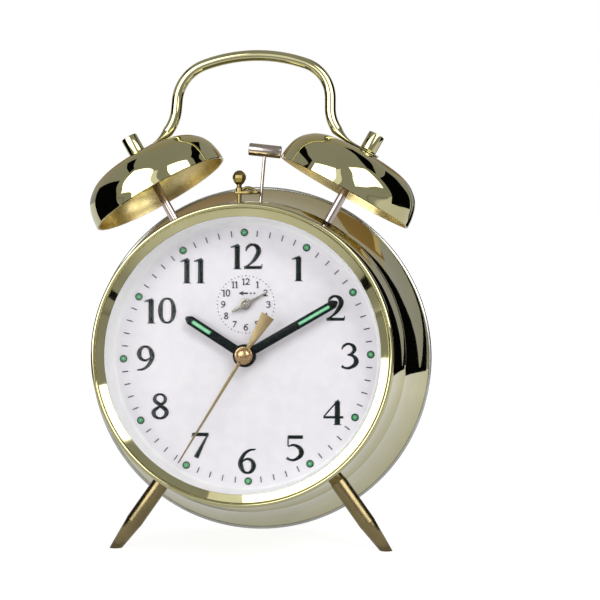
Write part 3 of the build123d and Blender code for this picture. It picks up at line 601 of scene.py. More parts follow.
class Finishes:
    """Every finish on the clock, by the material it stands for."""

    BRASS = Metal("polished_brass", "polished_brass", "c3be93", "bdb78b", 0.02, 0.05, 0.003)
    # Inside of the bells: rougher than the outside, and painted lighter and warmer to stand in for light inside the
    # dome.
    BRASS_INSIDE = Metal("brass_inside_painted_light", "polished_brass", "d8c894", "cbb880", 0.26, 0.34, 0.006)
    KNOB_BRASS = Metal("aged_brass", "polished_brass", "82744a", "6c5f3a", 0.18, 0.26, 0.02)
    STEEL = Metal("polished_steel", "steel", "c4b6af", "b3a59f", 0.10, 0.18, 0.02)
    BRONZE = Metal("satin_bronze", "satin_bronze", "94855f", "857755", 0.22, 0.32, 0.04)
    NICKEL = Metal("brushed_nickel", "nickel", "c9c9c6", "b9b9b6", 0.24, 0.36, 0.12)
    TRAIN = Metal("train_brass", "train_brass", "dfc070", "cfae5e", 0.2, 0.32, 0.1)
    SPRING = Metal("blued_steel", "blued_steel", "5d6a8c", "46506d", 0.2, 0.3, 0.05)
    GOLD = Metal("gold_hand", "gold_paint", "8c7c5c", "807150", 0.34, 0.46, 0.08)
    CAP = Metal("gold_cap", "gold_paint", "c0a27c", "ae8d64", 0.18, 0.26, 0.04)
    SILVER = Metal("silver_hand", "alarm_hand_silver", "928f86", "7c7972", 0.3, 0.42, 0.08)
    DIAL = Coat("dial_card", "dial_card", "f4f1f6", "efecf2", 0.6, 260.0, 0.04, 0.0, 0.2)
    WHITE = Coat("white_reflector", "white_card", "fafafa", "f4f4f6", 0.45, 200.0, 0.03, 0.0, 0.3)
    ENAMEL = Coat("black_enamel", "black_enamel", "0c1614", "080e0d", 0.3, 500.0, 0.02, 0.0, 0.1)
    INK = Coat("dial_ink", "dial_card", "14221f", "0c1715", 0.6, 900.0, 0.02, 0.0, 0.1)
    FINE_INK = Coat("fine_ink", "dial_card", "221c33", "1a1529", 0.6, 900.0, 0.02, 0.0, 0.1)
    LUME = Glow("luminous_fill", "black_enamel", "94d6ae", "7cc296", 0.6, 1500.0, 0.1, 0.0, 0.2)
    LUME_EDGE = Coat("luminous_edge", "black_enamel", "3f9f6b", "358a5c", 0.6, 1500.0, 0.1, 0.0, 0.2)
    DOT = Glow("green_dot", "dial_card", "3fa565", "338f55", 0.35, 1800.0, 0.05, 0.3, 0.5, 0.03)
    DOT_EDGE = Coat("dot_outline", "dial_card", "12301f", "0e2618", 0.4, 1800.0, 0.05, 0.0, 0.3)
    # A pale green spot in the middle of each green dot: a painted highlight.
    DOT_LIGHT = Coat("dot_light", "dial_card", "9fe6b4", "86d69d", 0.4, 1800.0, 0.05, 0.0, 0.3)
    GLASS = Crystal("flat_glass", "glass")
    SCREW = Metal("screw_steel", "steel", "bdbab8", "a9a6a4", 0.18, 0.28, 0.06)

    BY_SLOT = {
        "polished_brass": BRASS, "glass": GLASS, "white_card": WHITE, "dial_card": DIAL, "nickel": NICKEL,
        "steel": STEEL, "satin_bronze": BRONZE, "train_brass": TRAIN, "blued_steel": SPRING,
        "black_enamel": ENAMEL, "gold_paint": GOLD, "alarm_hand_silver": SILVER,
    }


def deliver(piece: Piece, finish: Finish, body: str, *replaced: str) -> Piece:
    """Give a finished piece its material and hang it on its body.

    Args:
        piece: the piece, already in place.
        finish: its finish.
        body: the body it moves with.
        *replaced: the CAD nodes that it stands for.

    Returns:
        The same piece.
    """
    piece.data.materials.clear()
    piece.data.materials.append(finish.material())
    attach(piece, body)
    if replaced:
        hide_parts(*replaced)
    LOG.info("%s: %d faces", piece.name, len(piece.data.polygons))
    return piece


def hang(piece: Piece, place: Matrix, finish: Finish, body: str, *replaced: str) -> Piece:
    """Carry a finished drawing to its place on the clock and deliver it."""
    Bench.place(piece, place)
    return deliver(piece, finish, body, *replaced)


# ---- case
@dataclass
class CaseBody:
    """The spun case: neck and skirt, bezel and white reflector."""

    wall: float = 0.8
    lip: float = 44.8
    neck: Pair = (49.0, -6.3)
    crease: Pair = (51.9, 15.7)
    flare: Pair = (8.5, 20.5)
    handle_reach: float = 9.0
    skirt_end: Pair = (59.2, 45.25)
    holes: tuple[tuple[float, float, float, float], ...] = ((0.9, 17.6, 9.6, 2.6), (-3.3, 14.3, 3.4, 2.2))
    hole_height: float = 52.0
    hole_length: float = 12.0
    sharp: float = 24.0

    def shell(self) -> Piece:
        """Spin the neck and skirt, and pierce them for the hammer rod and the stop.

        Returns:
            The shell, still as drawn.
        """
        (neck_r, front), (crease_r, crease_y), (end_r, end_y) = self.neck, self.crease, self.skirt_end
        first, last = (Vector((tan(radians(slope)), 1)) * self.handle_reach for slope in self.flare)
        first, back = tuple(first), tuple(-last)
        outside = [(neck_r - 0.5, front), (neck_r, front + 0.5), (crease_r - 0.25, crease_y - 0.5),
                   free(crease_r, crease_y, reach_out=first), free(end_r, end_y, reach_in=back)]
        inside = [free(end_r - self.wall, end_y, reach_out=back),
                  free(crease_r - self.wall, crease_y, reach_in=first), (neck_r - self.wall, front)]
        piece = Bench.lathe("case_skin", outside + inside, rounds=224, steps=20, sharp=self.sharp)
        piece.data.transform(CASE.on_dial_axis())
        for across, depth, long, wide in self.holes:
            cutter = Bench.start("hole", bpy.ops.mesh.primitive_cube_add, size=1, scale=(long, wide, self.hole_length),
                                 location=(across, depth, self.hole_height))
            Bench.apply_place()
            self.cut(piece, cutter)
        Bench.soften(piece, self.sharp)
        return piece

    @staticmethod
    def cut(piece: Piece, cutter: Piece) -> None:
        """Cut one piece out of another and throw the cutter away.

        Args:
            piece: the piece that stays.
            cutter: the piece that goes.
        """
        Bench.pick(piece)
        hole = piece.modifiers.new("Boolean", "BOOLEAN")
        hole.operation, hole.object, hole.solver = "DIFFERENCE", cutter, "EXACT"
        bpy.ops.object.modifier_apply(modifier=hole.name)
        bpy.data.objects.remove(cutter)

    def build(self) -> None:
        """Make and hang every piece of the case."""
        hang(self.shell(), moved(0, 0, 0), Finishes.BRASS, "case", "case_shell")
        bezel = Bench.lathe("bezel_ring", [
            (self.lip, -12.6), (self.lip + 0.1, -12.75), (47.3, -13.62), (47.42, -13.55), (47.5, -13.75),
            smooth(47.72, -14.17), smooth(48.25, -14.4), smooth(48.8, -14.16), smooth(49.05, -13.6), (49.0, -13.1),
            (48.9, -12.6), (48.75, -6.9), (48.6, -6.6), (48.05, -6.6), (48.05, -3.2), (47.5, -3.2), (47.7, -12.1),
            (self.lip + 0.2, -12.1)], rounds=224, sharp=28)
        hang(bezel, CASE.on_dial_axis(), Finishes.BRASS, "case", "bezel")
        ring = Bench.lathe("reflector_cone", [
            (45.4, -10.3), (44.2, -1.4), smooth(43.85, -0.45), (43.1, -0.02), (46.9, -0.02), (46.9, -10.3)], rounds=192)
        hang(ring, CASE.on_dial_axis(), Finishes.WHITE, "case", "reflector_ring")


# ---- bells, handle, hammer
@dataclass
class Bells:
    """Two spun bells on steel posts under tall round nuts."""

    angle: float = 29.5
    depth: float = 17.6
    rim: float = 63.1
    radius: float = 24.5
    crown: float = 78.3
    wall: float = 0.8
    post: Pair = (1.5, 51.0)
    nut: Pair = (2.8, 6.2)
    tab: float = 1.0
    dome_turn: float = 12.0

    def bell(self, side: Side) -> Piece:
        """Spin one bell from its rolled rim up to the hole in its crown.

        Args:
            side: its side of the clock.

        Returns:
            The bell, still as drawn.
        """
        w, r, h = self.wall, self.radius, self.rim
        skin = [(r - w, h + 0.05), (r - 0.25, h), (r, h + 0.2), smooth(24.1, h + 4.2), smooth(22.7, h + 8.3),
                smooth(20.3, h + 11.1), smooth(16.8, h + 13.25), smooth(11.0, h + 14.6), (1.3, self.crown)]
        inner = [(1.3, self.crown - w), smooth(10.8, h + 14.6 - w), smooth(16.3, h + 12.6),
                 smooth(19.7, h + 10.5), smooth(22.0, h + 7.95), smooth(23.3, h + 4.1)]
        return Bench.lathe(f"{side.word}_bell_dome", skin + inner, steps=6, sharp=40)

    def line_inside(self, bell: Piece, spoke: Matrix) -> None:
        """Give the faces inside a bell a duller brass, whose lighter, warmer colour is painted light inside the shaded
        dome.

        Args:
            bell: the bell.
            spoke: its place on the clock.
        """
        bell.data.materials.append(Finishes.BRASS_INSIDE.material())
        back = (CASE.matrix @ spoke).inverted()
        turn = back.to_3x3()
        for face in bell.data.polygons:
            centre, normal = back @ face.center, turn @ face.normal
            outwards = Vector((centre.x, centre.y, self.dome_turn)).dot(normal)
            face.material_index = int(outwards < 0)

    def build(self) -> None:
        """Make and hang the bells, posts and nuts."""
        for side in Side:
            spoke = CASE.on_spoke(side.value * self.angle, self.depth)
            bell = hang(self.bell(side), spoke, Finishes.BRASS, "case", f"{side.word}_bell")
            self.line_inside(bell, spoke)
            (r, foot), top = self.post, self.crown - self.wall
            post = Bench.lathe(f"{side.word}_post", [
                (0, foot), (r, foot), (r, top - 0.4), (r - 0.3, top), (0, top)], rounds=48)
            hang(post, spoke, Finishes.STEEL, "case", f"{side.word}_bell_post")
            seat, (r, tall) = self.crown + self.tab, self.nut
            nut = Bench.lathe(f"{side.word}_nut", [
                (0, seat), (r - 0.25, seat), (r, seat + 0.25), (r, seat + tall - 0.3),
                smooth(r - 0.1, seat + tall - 0.08), (r - 0.35, seat + tall), smooth(r * 0.5, seat + tall + 0.08),
                (0, seat + tall + 0.1)], rounds=64)
            hang(nut, spoke, Finishes.BRASS, "case", f"{side.word}_bell_nut")


@dataclass
class Handle:
    """The bent carrying bar, flattened into a tab on top of each bell."""

    depth: float = 17.6
    radius: float = 1.84
    top: float = 101.6
    half: float = 25.95
    lean: float = radians(2.4)
    crest_bend: float = 51.3
    shoulder_bend: float = 13.2
    foot_bend: float = 13.5
    drift: float = 0.045
    bell_angle: float = 29.5
    crown: float = 78.3
    landing: float = radians(24)
    tab: Pair = (6.4, 1.0)
    tab_steps: int = 10
    tab_rounds: int = 32
    tab_sharp: float = 50.0
    tab_end: tuple[Pair, ...] = ((2.2, 0.86), (1.2, 0.62), (0.5, 0.3))

    def walk(self, leg: float) -> Line:
        """Walk the right half of the bar from its top, with handles that make true arcs.

        Args:
            leg: length of its straight leg.

        Returns:
            Its knots.
        """
        crest = asin((self.half - self.shoulder_bend * cos(self.lean)) / (self.crest_bend - self.shoulder_bend))
        upright, landed = pi / 2 - self.lean, radians(self.bell_angle) + self.landing
        knots, x, z, slope, behind = [], 0.0, self.top, 0.0, 4 / 3 * tan(crest / 4) * self.crest_bend
        for turn, size in ((crest, self.crest_bend), (upright - crest, self.shoulder_bend), (0.0, leg),
                           (landed - upright, self.foot_bend), (0.0, 0.0)):
            ahead = 4 / 3 * tan(abs(turn) / 4) * size if turn else size / 3
            chord = 2 * size * sin(abs(turn) / 2) if turn else size
            along = Vector((cos(slope), -sin(slope)))
            knots.append(free(x, z, tuple(-along * behind), tuple(along * ahead)))
            x, z = x + chord * cos(slope + turn / 2), z - chord * sin(slope + turn / 2)
            slope, behind = slope + turn, ahead
        return knots

    def right_half(self) -> Line:
        """Choose the leg that sets the foot of the bar on its bell.

        Returns:
            The knots of the right half, from the top to the foot.
        """
        foot, beta = self.walk(0.0)[-1], radians(self.bell_angle)
        height = self.crown + self.radius / cos(self.landing) + 0.05
        return self.walk((foot.across * sin(beta) + foot.up * cos(beta) - height) / cos(self.lean + beta))

    def route(self) -> Line:
        """Mirror the right half, and let the bar drift sideways as it rises from its feet.

        Returns:
            The knots of the whole bar.
        """
        right = self.right_half()
        left = [knot.flipped() for knot in reversed(right[1:])]
        return [free(k.across + self.drift * (k.up - right[-1].up), k.up,
                     *((x + self.drift * z, z) for x, z in (k.reach_in, k.reach_out))) for k in left + right]

    def tab_piece(self, side: Side) -> Piece:
        """Flatten the end of the bar: a circle drawn out step by step into a rounded tab.

        Args:
            side: which end of the bar.

        Returns:
            The tab, in the drawing of the bar.
        """
        spoke, foot = CASE.on_spoke(side.value * self.bell_angle, 0), self.right_half()[-1]
        start = spoke.inverted() @ Vector((side.value * foot.across, 0, foot.up))
        piece = Bench.start(f"handle_tab_{side.word}", bpy.ops.mesh.primitive_circle_add,
                            vertices=self.tab_rounds, radius=self.radius, fill_type="NGON", location=start,
                            rotation=(0, side.value * (pi / 2 + self.landing), 0))
        Bench.apply_place()
        with Bench.editing(piece, Bench.GAP, self.tab_sharp):
            self.draw_out(start, side.value)
        piece.data.transform(spoke)
        return piece

    def draw_out(self, start: Vector, way: int) -> None:
        """Extrude the end of the bar that is being edited into its tab.

        Args:
            start: centre of the bar's end.
            way: 1 when the tab points to growing x, and -1 when not.
        """
        width, thick = self.tab
        middle = self.crown + thick / 2
        settle = (start.z - middle) / (1 - cos(self.landing))
        goal = start.x + way * settle * sin(self.landing)
        broad, flat, centre = width / 2 / self.radius - 1, thick / 2 / self.radius - 1, Vector(start)
        size = (1.0, 1.0)
        for step in range(1, self.tab_steps + 1):
            left = 1 - step / self.tab_steps
            theta = self.landing * left
            ahead = Vector((goal - way * settle * sin(theta), 0, middle + settle * (1 - cos(theta))))
            grown = (1 + broad * (1 - left * left), 1 + flat * (1 - left * left))
            bpy.ops.mesh.extrude_region_move(TRANSFORM_OT_translate={"value": ahead - centre})
            bpy.ops.transform.rotate(value=way * self.landing / self.tab_steps, orient_axis="Y",
                                     orient_type="GLOBAL", center_override=ahead)
            bpy.ops.transform.resize(value=(1, grown[0] / size[0], grown[1] / size[1]), center_override=ahead)
            centre, size = ahead, grown
        bpy.ops.mesh.extrude_region_move(TRANSFORM_OT_translate={"value": (-goal, 0, 0)})
        for reach, wide in self.tab_end:
            bpy.ops.mesh.extrude_region_move(TRANSFORM_OT_translate={"value": (way * reach, 0, 0)})
            bpy.ops.transform.resize(value=(1, wide, 1), center_override=(0, 0, middle))

    def build(self) -> None:
        """Make the bar and its tabs in one piece and hang it."""
        bar = Bench.bar("handle_bar", self.route(), self.radius, steps=24, round_steps=10)
        whole = Bench.join("handle_bar", [bar] + [self.tab_piece(side) for side in Side])
        hang(whole, moved(0, self.depth, 0), Finishes.BRASS, "case", "handle")


@dataclass
class Striker:
    """The hammer that swings between the bells, and the stop that holds it."""

    depth: float = 17.6
    head: Pair = (4.45, 69.4)
    head_size: Pair = (2.1, 10.9)
    tilt: float = -6.7
    pivot: Pair = (0.9, 28.0)
    rod: float = 0.55
    stop: Pair = (-3.9, 14.3)
    arm_height: float = 54.9

    def build(self) -> None:
        """Make and hang the hammer and the stop."""
        self.hammer()
        self.stop_knob()

    def hammer(self) -> None:
        """Turn the hammer's head and stand it on its rod."""
        (x, z), (r, long) = self.head, self.head_size
        half = long / 2
        head = Bench.lathe("hammer_cylinder", [
            (0, -half), (r - 0.35, -half), smooth(r - 0.08, -half + 0.1), (r, -half + 0.35), (r, half - 0.35),
            smooth(r - 0.08, half - 0.1), (r - 0.35, half), (0, half)], rounds=64)
        hang(head, moved(x, self.depth, z) @ turned("Y", 90 - self.tilt), Finishes.STEEL, "hammer_group", "hammer_head")
        rod = Bench.bar("hammer_wire", [self.pivot, (x - 0.2, z - r + 0.1)], self.rod, round_steps=8)
        hang(rod, moved(0, self.depth, 0), Finishes.STEEL, "hammer_group", "hammer_rod")

    def stop_knob(self) -> None:
        """Turn the faceted stop and give it its arm and curl."""
        knob = Bench.lathe("stop_knob", [
            (0, 48.6), (1.9, 48.6), (1.9, 49.6), (0.8, 49.6), (0.8, 54.6), (1.2, 54.6), (1.2, 56.6), (0.8, 56.9),
            (0.85, 57.6), (1.7, 58.4), (2.3, 59.7), (2.25, 60.7), (1.6, 61.8), (0.8, 62.4), (0, 62.4)],
            rounds=12, sharp=12)
        arm = Bench.sheet("stop_arm", [smooth(6.9, 0), smooth(5.9, 1.1), (-1.2, 1.1), smooth(-1.6, 0), (-1.2, -1.1),
                                       smooth(5.9, -1.1)], 0.8, 0.12)
        arm.data.transform(moved(0, 0, self.arm_height) @ turned("X", 90))
        curl = Bench.bar("stop_curl", [smooth(0.4, 55.2), smooth(2.0, 56.5), smooth(4.2, 56.3),
                                       smooth(5.9, self.arm_height)], self.rod)
        whole = Bench.join("stop_knob", [knob, arm, curl])
        hang(whole, moved(*self.stop, 0), Finishes.KNOB_BRASS, "alarm_stop_group", "alarm_stop")


@dataclass
class Feet:
    """Two turned feet, cut level where they stand on the table."""

    angle: float = 144.7
    depth: float = 14.5
    shank: float = 2.85
    tip: float = 1.6
    root: float = 50.9
    taper: float = 68.2
    end: float = 80.6

    def build(self) -> None:
        """Turn, cut and hang both feet."""
        for side in Side:
            foot = Bench.lathe(f"{side.word}_turned_foot", [
                (0, self.root), (self.shank, self.root), (self.shank, self.taper - 0.15),
                smooth(self.shank - 0.04, self.taper + 0.1), (self.shank - 0.12, self.taper + 0.5),
                (self.tip, self.end), (0, self.end)], rounds=72, steps=4)
            Bench.place(foot, CASE.on_spoke(side.value * self.angle, self.depth))
            with Bench.editing(foot):
                bpy.ops.mesh.bisect(plane_co=(0, 0, 0), plane_no=(0, 0, 1), use_fill=True, clear_inner=True)
            deliver(foot, Finishes.BRONZE, "case", f"{side.word}_foot")


# ---- dial and hands
@dataclass(frozen=True)
class Stroke:
    """One pen stroke of a numeral: (across, up, half width) points in hundredths of its height."""

    points: tuple[Triple, ...]
    closed: bool = False
    straight: bool = False
    serif: bool = False


NUMERALS: dict[str, tuple[float, tuple[Stroke, ...]]] = {
    "0": (74, (Stroke(((37, 97, 4), (11, 50, 11), (37, 3, 4), (63, 50, 11)), closed=True),)),
    "1": (44, (Stroke(((28, 0, 10), (28, 50, 9.5), (28, 93, 10)), straight=True),
               Stroke(((2, 85, 2.5), (16, 89, 4.5), (33, 97, 3)), serif=True),
               Stroke(((13, 1.5, 1.8), (44, 1.5, 1.8)), straight=True, serif=True))),
    "2": (73, (Stroke(((8, 70, 3), (15, 86, 6), (36, 95, 5.5), (57, 76, 11), (48, 47, 9), (24, 20, 4.5), (5, 8, 3.5))),
               Stroke(((1, 6.5, 6.5), (70, 6.5, 6.5)), straight=True),
               Stroke(((68, 6, 4), (72, 20, 1.5)), straight=True, serif=True))),
    "3": (72, (Stroke(((4, 75, 2.5), (13, 89, 5.5), (34, 95.5, 5), (53, 78, 9), (44, 60, 6), (26, 53, 3))),
               Stroke(((26, 54, 3), (47, 50, 6), (60, 28, 11), (40, 6, 6.5), (16, 4, 4.5), (4, 11, 6))))),
    "4": (79, (Stroke(((55, 1, 10), (55, 92, 9.5)), straight=True),
               Stroke(((59, 97, 3), (3, 33, 3.4)), straight=True),
               Stroke(((1, 30, 5), (78, 30, 5)), straight=True),
               Stroke(((40, 1.5, 1.8), (71, 1.5, 1.8)), straight=True, serif=True))),
    "5": (73, (Stroke(((9, 92, 7.5), (67, 92, 7.5)), straight=True),
               Stroke(((10, 97, 3), (9, 57, 3.2)), straight=True),
               Stroke(((9, 56, 3), (34, 61, 5.5), (61, 34, 11), (38, 6, 6), (16, 5, 4.5), (4, 12, 6))))),
    "6": (75, (Stroke(((70, 95, 3), (42, 89, 5.5), (17, 62, 8.5), (12, 32, 11), (37, 3.5, 4.5), (62, 30, 10.5),
                       (43, 57, 5.5), (16, 47, 3))),)),
    "7": (70, (Stroke(((7, 92, 7.5), (68, 92, 7.5)), straight=True),
               Stroke(((7, 97, 3), (2, 80, 1.6)), straight=True, serif=True),
               Stroke(((65, 92, 4), (44, 52, 6.5), (19, 2, 10.5))))),
    "8": (74, (Stroke(((36, 96.5, 4), (15, 78, 8), (37, 54, 8), (62, 25, 9.5), (36, 3, 4.5), (11, 24, 9.5),
                       (33, 49, 5.5), (57, 77, 7.5)), closed=True),)),
    "9": (75, (Stroke(((5, 5, 3), (33, 11, 5.5), (58, 38, 8.5), (63, 68, 11), (38, 96.5, 4.5), (13, 70, 10.5),
                       (32, 43, 5.5), (59, 53, 3))),)),
}


@dataclass
class DialPrint:
    """Everything printed on the dial: numerals, minute marks, dots and the small alarm dial, with a painted highlight
    on each dot.
    """

    height: float = 8.5
    gap: float = 9.5
    lift: float = -0.02
    thick: float = 0.02
    boldness: float = 1.08
    dots: float = 40.8
    # The last dot layer is a painted highlight, a pale spot in the middle of each dot.
    dot_layers: tuple[tuple[str, float, float, Finish], ...] = (
        ("dot_outlines", 1.3, 0.05, Finishes.DOT_EDGE), ("green_dots", 0.88, 0.16, Finishes.DOT),
        ("dot_painted_highlights", 0.36, 0.2, Finishes.DOT_LIGHT))
    marks: Pair = (39.5, 41.5)
    mark_half: float = 0.19
    alarm: Pair = (0.0, 16.9)
    alarm_dots: float = 9.4
    alarm_dot_rows: tuple[Pair, ...] = ((0.22, 0.0), (0.16, 7.5))
    alarm_numerals: Triple = (7.5, 2.1, 0.225)
    arrow: Pair = (3.65, 0.27)
    ring: Triple = (0.17, -0.25, -1.03)
    places: dict[str, Pair] = field(default_factory=lambda: {
        "12": (0.1, 32.7), "1": (16.8, 28.7), "2": (29.5, 15.7), "3": (34.2, 0.05), "4": (28.8, -18.3),
        "5": (16.3, -30.1), "6": (0.6, -34.4), "7": (-15.0, -29.4), "8": (-28.3, -16.6), "9": (-33.3, -0.9),
        "10": (-28.4, 14.9), "11": (-17.8, 28.1)})

    def numeral(self, text: str, centre: Pair, height: float, weight: float = 0.0) -> Piece:
        """Pen one number, centred on a place of the dial.

        Args:
            text: the number's figures.
            centre: where its middle stands, in millimetres.
            height: its height.
            weight: one half width for every stroke, without serifs; 0 for the pen's own.

        Returns:
            The raised print.
        """
        unit = height / 100
        total = sum(NUMERALS[c][0] for c in text) + self.gap * (len(text) - 1)
        left, strokes = -total / 2, []
        for figure in text:
            width, shape = NUMERALS[figure]
            for stroke in shape:
                if stroke.serif and weight and figure != "1":
                    continue
                bend = Bend.CORNER if stroke.straight else Bend.SMOOTH
                knots = [Knot((left + x) * unit, (y - 50) * unit, bend, weight or half * self.boldness * unit)
                         for x, y, half in stroke.points]
                strokes.append(Bench.bar("pen", knots, 1.0, stroke.closed, round_steps=1))
            left += width + self.gap
        number = Bench.join(f"number_{text}", strokes)
        number.data.transform(moved(centre[0], self.lift, centre[1]) @ Matrix.Diagonal((1, 0.02, 1, 1)))
        return number

    @staticmethod
    def around(piece: Piece, angles: list[float], centre: Pair) -> list[Piece]:
        """Copy a piece drawn at twelve to each clock angle, and drop the first.

        Args:
            piece: the piece.
            angles: the clock angles, in degrees.
            centre: what they turn about.

        Returns:
            The copies.
        """
        made = []
        for angle in angles:
            Bench.pick(piece)
            bpy.ops.object.duplicate()
            made.append(bpy.context.object)
            made[-1].data.transform(moved(centre[0], 0, centre[1]) @ turned("Y", angle))
        bpy.data.objects.remove(piece)
        return made

    @staticmethod
    def print_on(name: str, pieces: list[Piece], finish: Finish) -> None:
        """Join printed pieces and hang them on the case."""
        hang(Bench.join(name, pieces), moved(0, 0, 0), finish, "case")

    def build(self) -> None:
        """Print the dial, and paint a highlight on each dot."""
        numbers = [self.numeral(text, place, self.height) for text, place in self.places.items()]
        self.print_on("dial_numerals", numbers, Finishes.INK)
        (inner, outer), half, (x, z, turn) = self.marks, self.mark_half, self.ring
        mark = Bench.sheet("minute_mark", mirrored((half, outer), (half, inner)), self.thick)
        mark.data.transform(moved(0, self.lift, 0))
        marks = self.around(mark, [6 * i + turn for i in range(60) if i % 5], (x, z))
        self.print_on("minute_marks", marks, Finishes.FINE_INK)
        for name, radius, high, finish in self.dot_layers:
            dot = Bench.lathe(name, [(0, 0), (radius, 0), smooth(radius * 0.92, high * 0.6),
                                     smooth(radius * 0.5, high * 0.95), (0, high)], rounds=20, steps=2)
            dot.data.transform(moved(0, 0, self.dots) @ turned("X", 90))
            self.print_on(name, self.around(dot, [30 * i + turn for i in range(12)], (x, z)), finish)
        self.alarm_dial()

    def alarm_dial(self) -> None:
        """Print the small dial that the alarm hand points at."""
        (cx, cz), (reach, height, weight) = self.alarm, self.alarm_numerals
        printed = []
        for hour in range(12):
            a = radians(30 * hour)
            centre = (cx + reach * sin(a), cz + reach * cos(a))
            printed.append(self.numeral(str(hour or 12), centre, height, weight))
        for radius, offset in self.alarm_dot_rows:
            dot = Bench.sheet("alarm_dot", [smooth(radius, self.alarm_dots), smooth(0, self.alarm_dots + radius),
                                            smooth(-radius, self.alarm_dots), smooth(0, self.alarm_dots - radius)],
                              self.thick, steps=2)
            dot.data.transform(moved(0, self.lift, 0))
            printed += self.around(dot, [15 * i + offset for i in range(24)], self.alarm)
        up, half = self.arrow
        head = [(-2.5, 0), (-0.7, 0.8), (-1.0, half), (0.7, half), (0.7, -half), (-1.0, -half), (-0.7, -0.8)]
        dashes = [[(x, -half), (x + 0.6, -half), (x + 0.6, half), (x, half)] for x in (1.3, 2.5)]
        for shape in [head, *dashes]:
            printed.append(Bench.sheet("arrow", shape, self.thick))
            printed[-1].data.transform(moved(cx, self.lift, cz + up))
        self.print_on("alarm_dial_print", printed, Finishes.FINE_INK)


@dataclass
class Hands:
    """Hour, minute, sweep second and alarm hands, by length, width or tail, and clock angle."""

    hour: Triple = (23.1, 2.85, 302.8)
    minute: Triple = (35.0, 2.65, 60.1)
    second: Triple = (41.0, 15.2, 211.4)
    alarm: Triple = (8.2, 5.0, 61.0)
    alarm_centre: Pair = (0.0, 16.9)
    hour_fill: Triple = (6.8, 0.9, 2.6)
    minute_fill: Triple = (11.2, 0.7, 3.1)
    hour_depth: float = -3.2
    minute_depth: float = -5.2
    second_depth: float = -6.6
    alarm_depth: float = -1.6
    thick: float = 0.4
    second_thick: float = 0.25
    alarm_thick: float = 0.35
    hub: Triple = (1.5, 3.75, 0.2)
    hub_edge: float = 0.1
    tip: Pair = (0.35, 1.4)
    paint: Pair = (0.06, 0.02)
    layers: tuple[tuple[str, float, float, Finish], ...] = (
        ("edge", 0.2, 0.0, Finishes.LUME_EDGE), ("fill", 0.0, -0.04, Finishes.LUME))

    def baton(self, name: str, size: Triple, fill: Triple, depth: float) -> None:
        """Cut, fill and hang a black baton hand.

        Args:
            name: which hand.
            size: its length, width and clock angle.
            fill: length and width of its luminous filling, and its distance from the tip.
            depth: where it stands behind the dial's face, negative in front.
        """
        (length, width, turn), (long, wide, gap), (hole, r, deep) = size, fill, self.hub
        (tip, slope), edge, half, body = self.tip, self.hub_edge, width / 2, f"{name}_group"
        outline = mirrored((tip, length), (half, length - slope), (half, 0))
        blade = Bench.sheet(f"{name}_blade", outline, self.thick, edge)
        hub = Bench.lathe("hub", [(hole, deep), (r - edge, deep), (r, deep - edge), (r, edge - deep),
                                  (r - edge, -deep), (hole, -deep)], rounds=64)
        hub.data.transform(turned("X", 90))
        place = moved(0, depth + self.thick / 2, 0) @ turned("Y", turn)
        hang(Bench.join(f"{name}_blade", [blade, hub]), place, Finishes.ENAMEL, body, f"{name}_hand")
        for layer, grow, lift, finish in self.layers:
            r = wide / 2 + grow
            end, start = length - gap + grow, length - gap - long - grow
            outline = mirrored(smooth(0, end), (r, end - r * 0.4), (r, start))
            paint = Bench.sheet(f"{name}_luminous_{layer}", outline, *self.paint)
            hang(paint, place @ moved(0, lift - self.thick / 2, 0), finish, body)

    def sweep(self) -> None:
        """Cut the sweep second hand and turn its cap."""
        length, tail, turn = self.second
        outline = mirrored((0.2, length), (0.55, 0), (0.62, -3.0), (2.3, -tail))
        needle = Bench.sheet("second_needle", outline, self.second_thick, 0.04)
        place = moved(0, self.second_depth + self.second_thick / 2, 0) @ turned("Y", turn)
        hang(needle, place, Finishes.GOLD, "second_group", "second_hand")
        cap = Bench.lathe("second_cap", [
            (0, 0), (2.75, 0), smooth(2.9, 0.12), smooth(2.86, 0.32), (2.55, 0.42), smooth(2.42, 0.75),
            smooth(1.7, 1.55), smooth(0.9, 1.84), (0, 1.9)], rounds=64, steps=5, sharp=50)
        hang(cap, moved(0, self.second_depth + 0.02, 0) @ turned("X", 90), Finishes.CAP, "second_group")

    def pointer(self) -> None:
        """Cut the alarm hand and give it its hub."""
        length, tail, turn = self.alarm
        outline = mirrored((0.18, length), (0.4, 2.2), smooth(1.35, 1.1), smooth(1.8, 0), smooth(1.5, -1.0),
                           (0.7, -2.0), (0.32, -tail))
        blade = Bench.sheet("alarm_pointer", outline, self.alarm_thick, 0.06)
        hub = Bench.lathe("alarm_hub", [
            (0, 0), (1.3, 0), (1.3, 0.35), smooth(1.1, 0.5), (0.85, 0.35), (0.75, 0.35), smooth(0.5, 0.62), (0, 0.7)],
            rounds=40, steps=3)
        hub.data.transform(turned("X", 90))
        (x, z), y = self.alarm_centre, self.alarm_depth + self.alarm_thick / 2
        hang(Bench.join("alarm_pointer", [blade, hub]), moved(x, y, z) @ turned("Y", turn), Finishes.SILVER,
             "alarm_setting", "alarm_hand")

    def build(self) -> None:
        """Make and hang the four hands."""
        self.baton("hour", self.hour, self.hour_fill, self.hour_depth)
        self.baton("minute", self.minute, self.minute_fill, self.minute_depth)
        self.sweep()
        self.pointer()


# ---- movement and studio
@dataclass
class Movement:
    """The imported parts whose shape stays: plates, wheels, arbors, springs, glass and dial."""

    special: dict[str, Finish] = field(default_factory=lambda: {"back_cover_screws": Finishes.SCREW})

    def build(self) -> None:
        """Give every node that still shows the finish of its slot."""
        for row in frame["record"]["subparts"]:
            node = frame["nodes"][row["node"]]
            if node.hide_render:
                continue
            finish = self.special.get(row["node"], Finishes.BY_SLOT[row["material_slot"]])
            node.data.materials.clear()
            node.data.materials.append(finish.material())
            LOG.info("%s keeps its shape: %s", row["node"], finish.name)


STAGE_CENTRE = Vector((0, 0, 0.08))


@dataclass(frozen=True)
class Softbox:
    """A lamp: where it stands round the clock, its size in metres and how bright it looks."""

    name: str
    azimuth: float
    elevation: float
    distance: float
    size: Pair
    bright: float


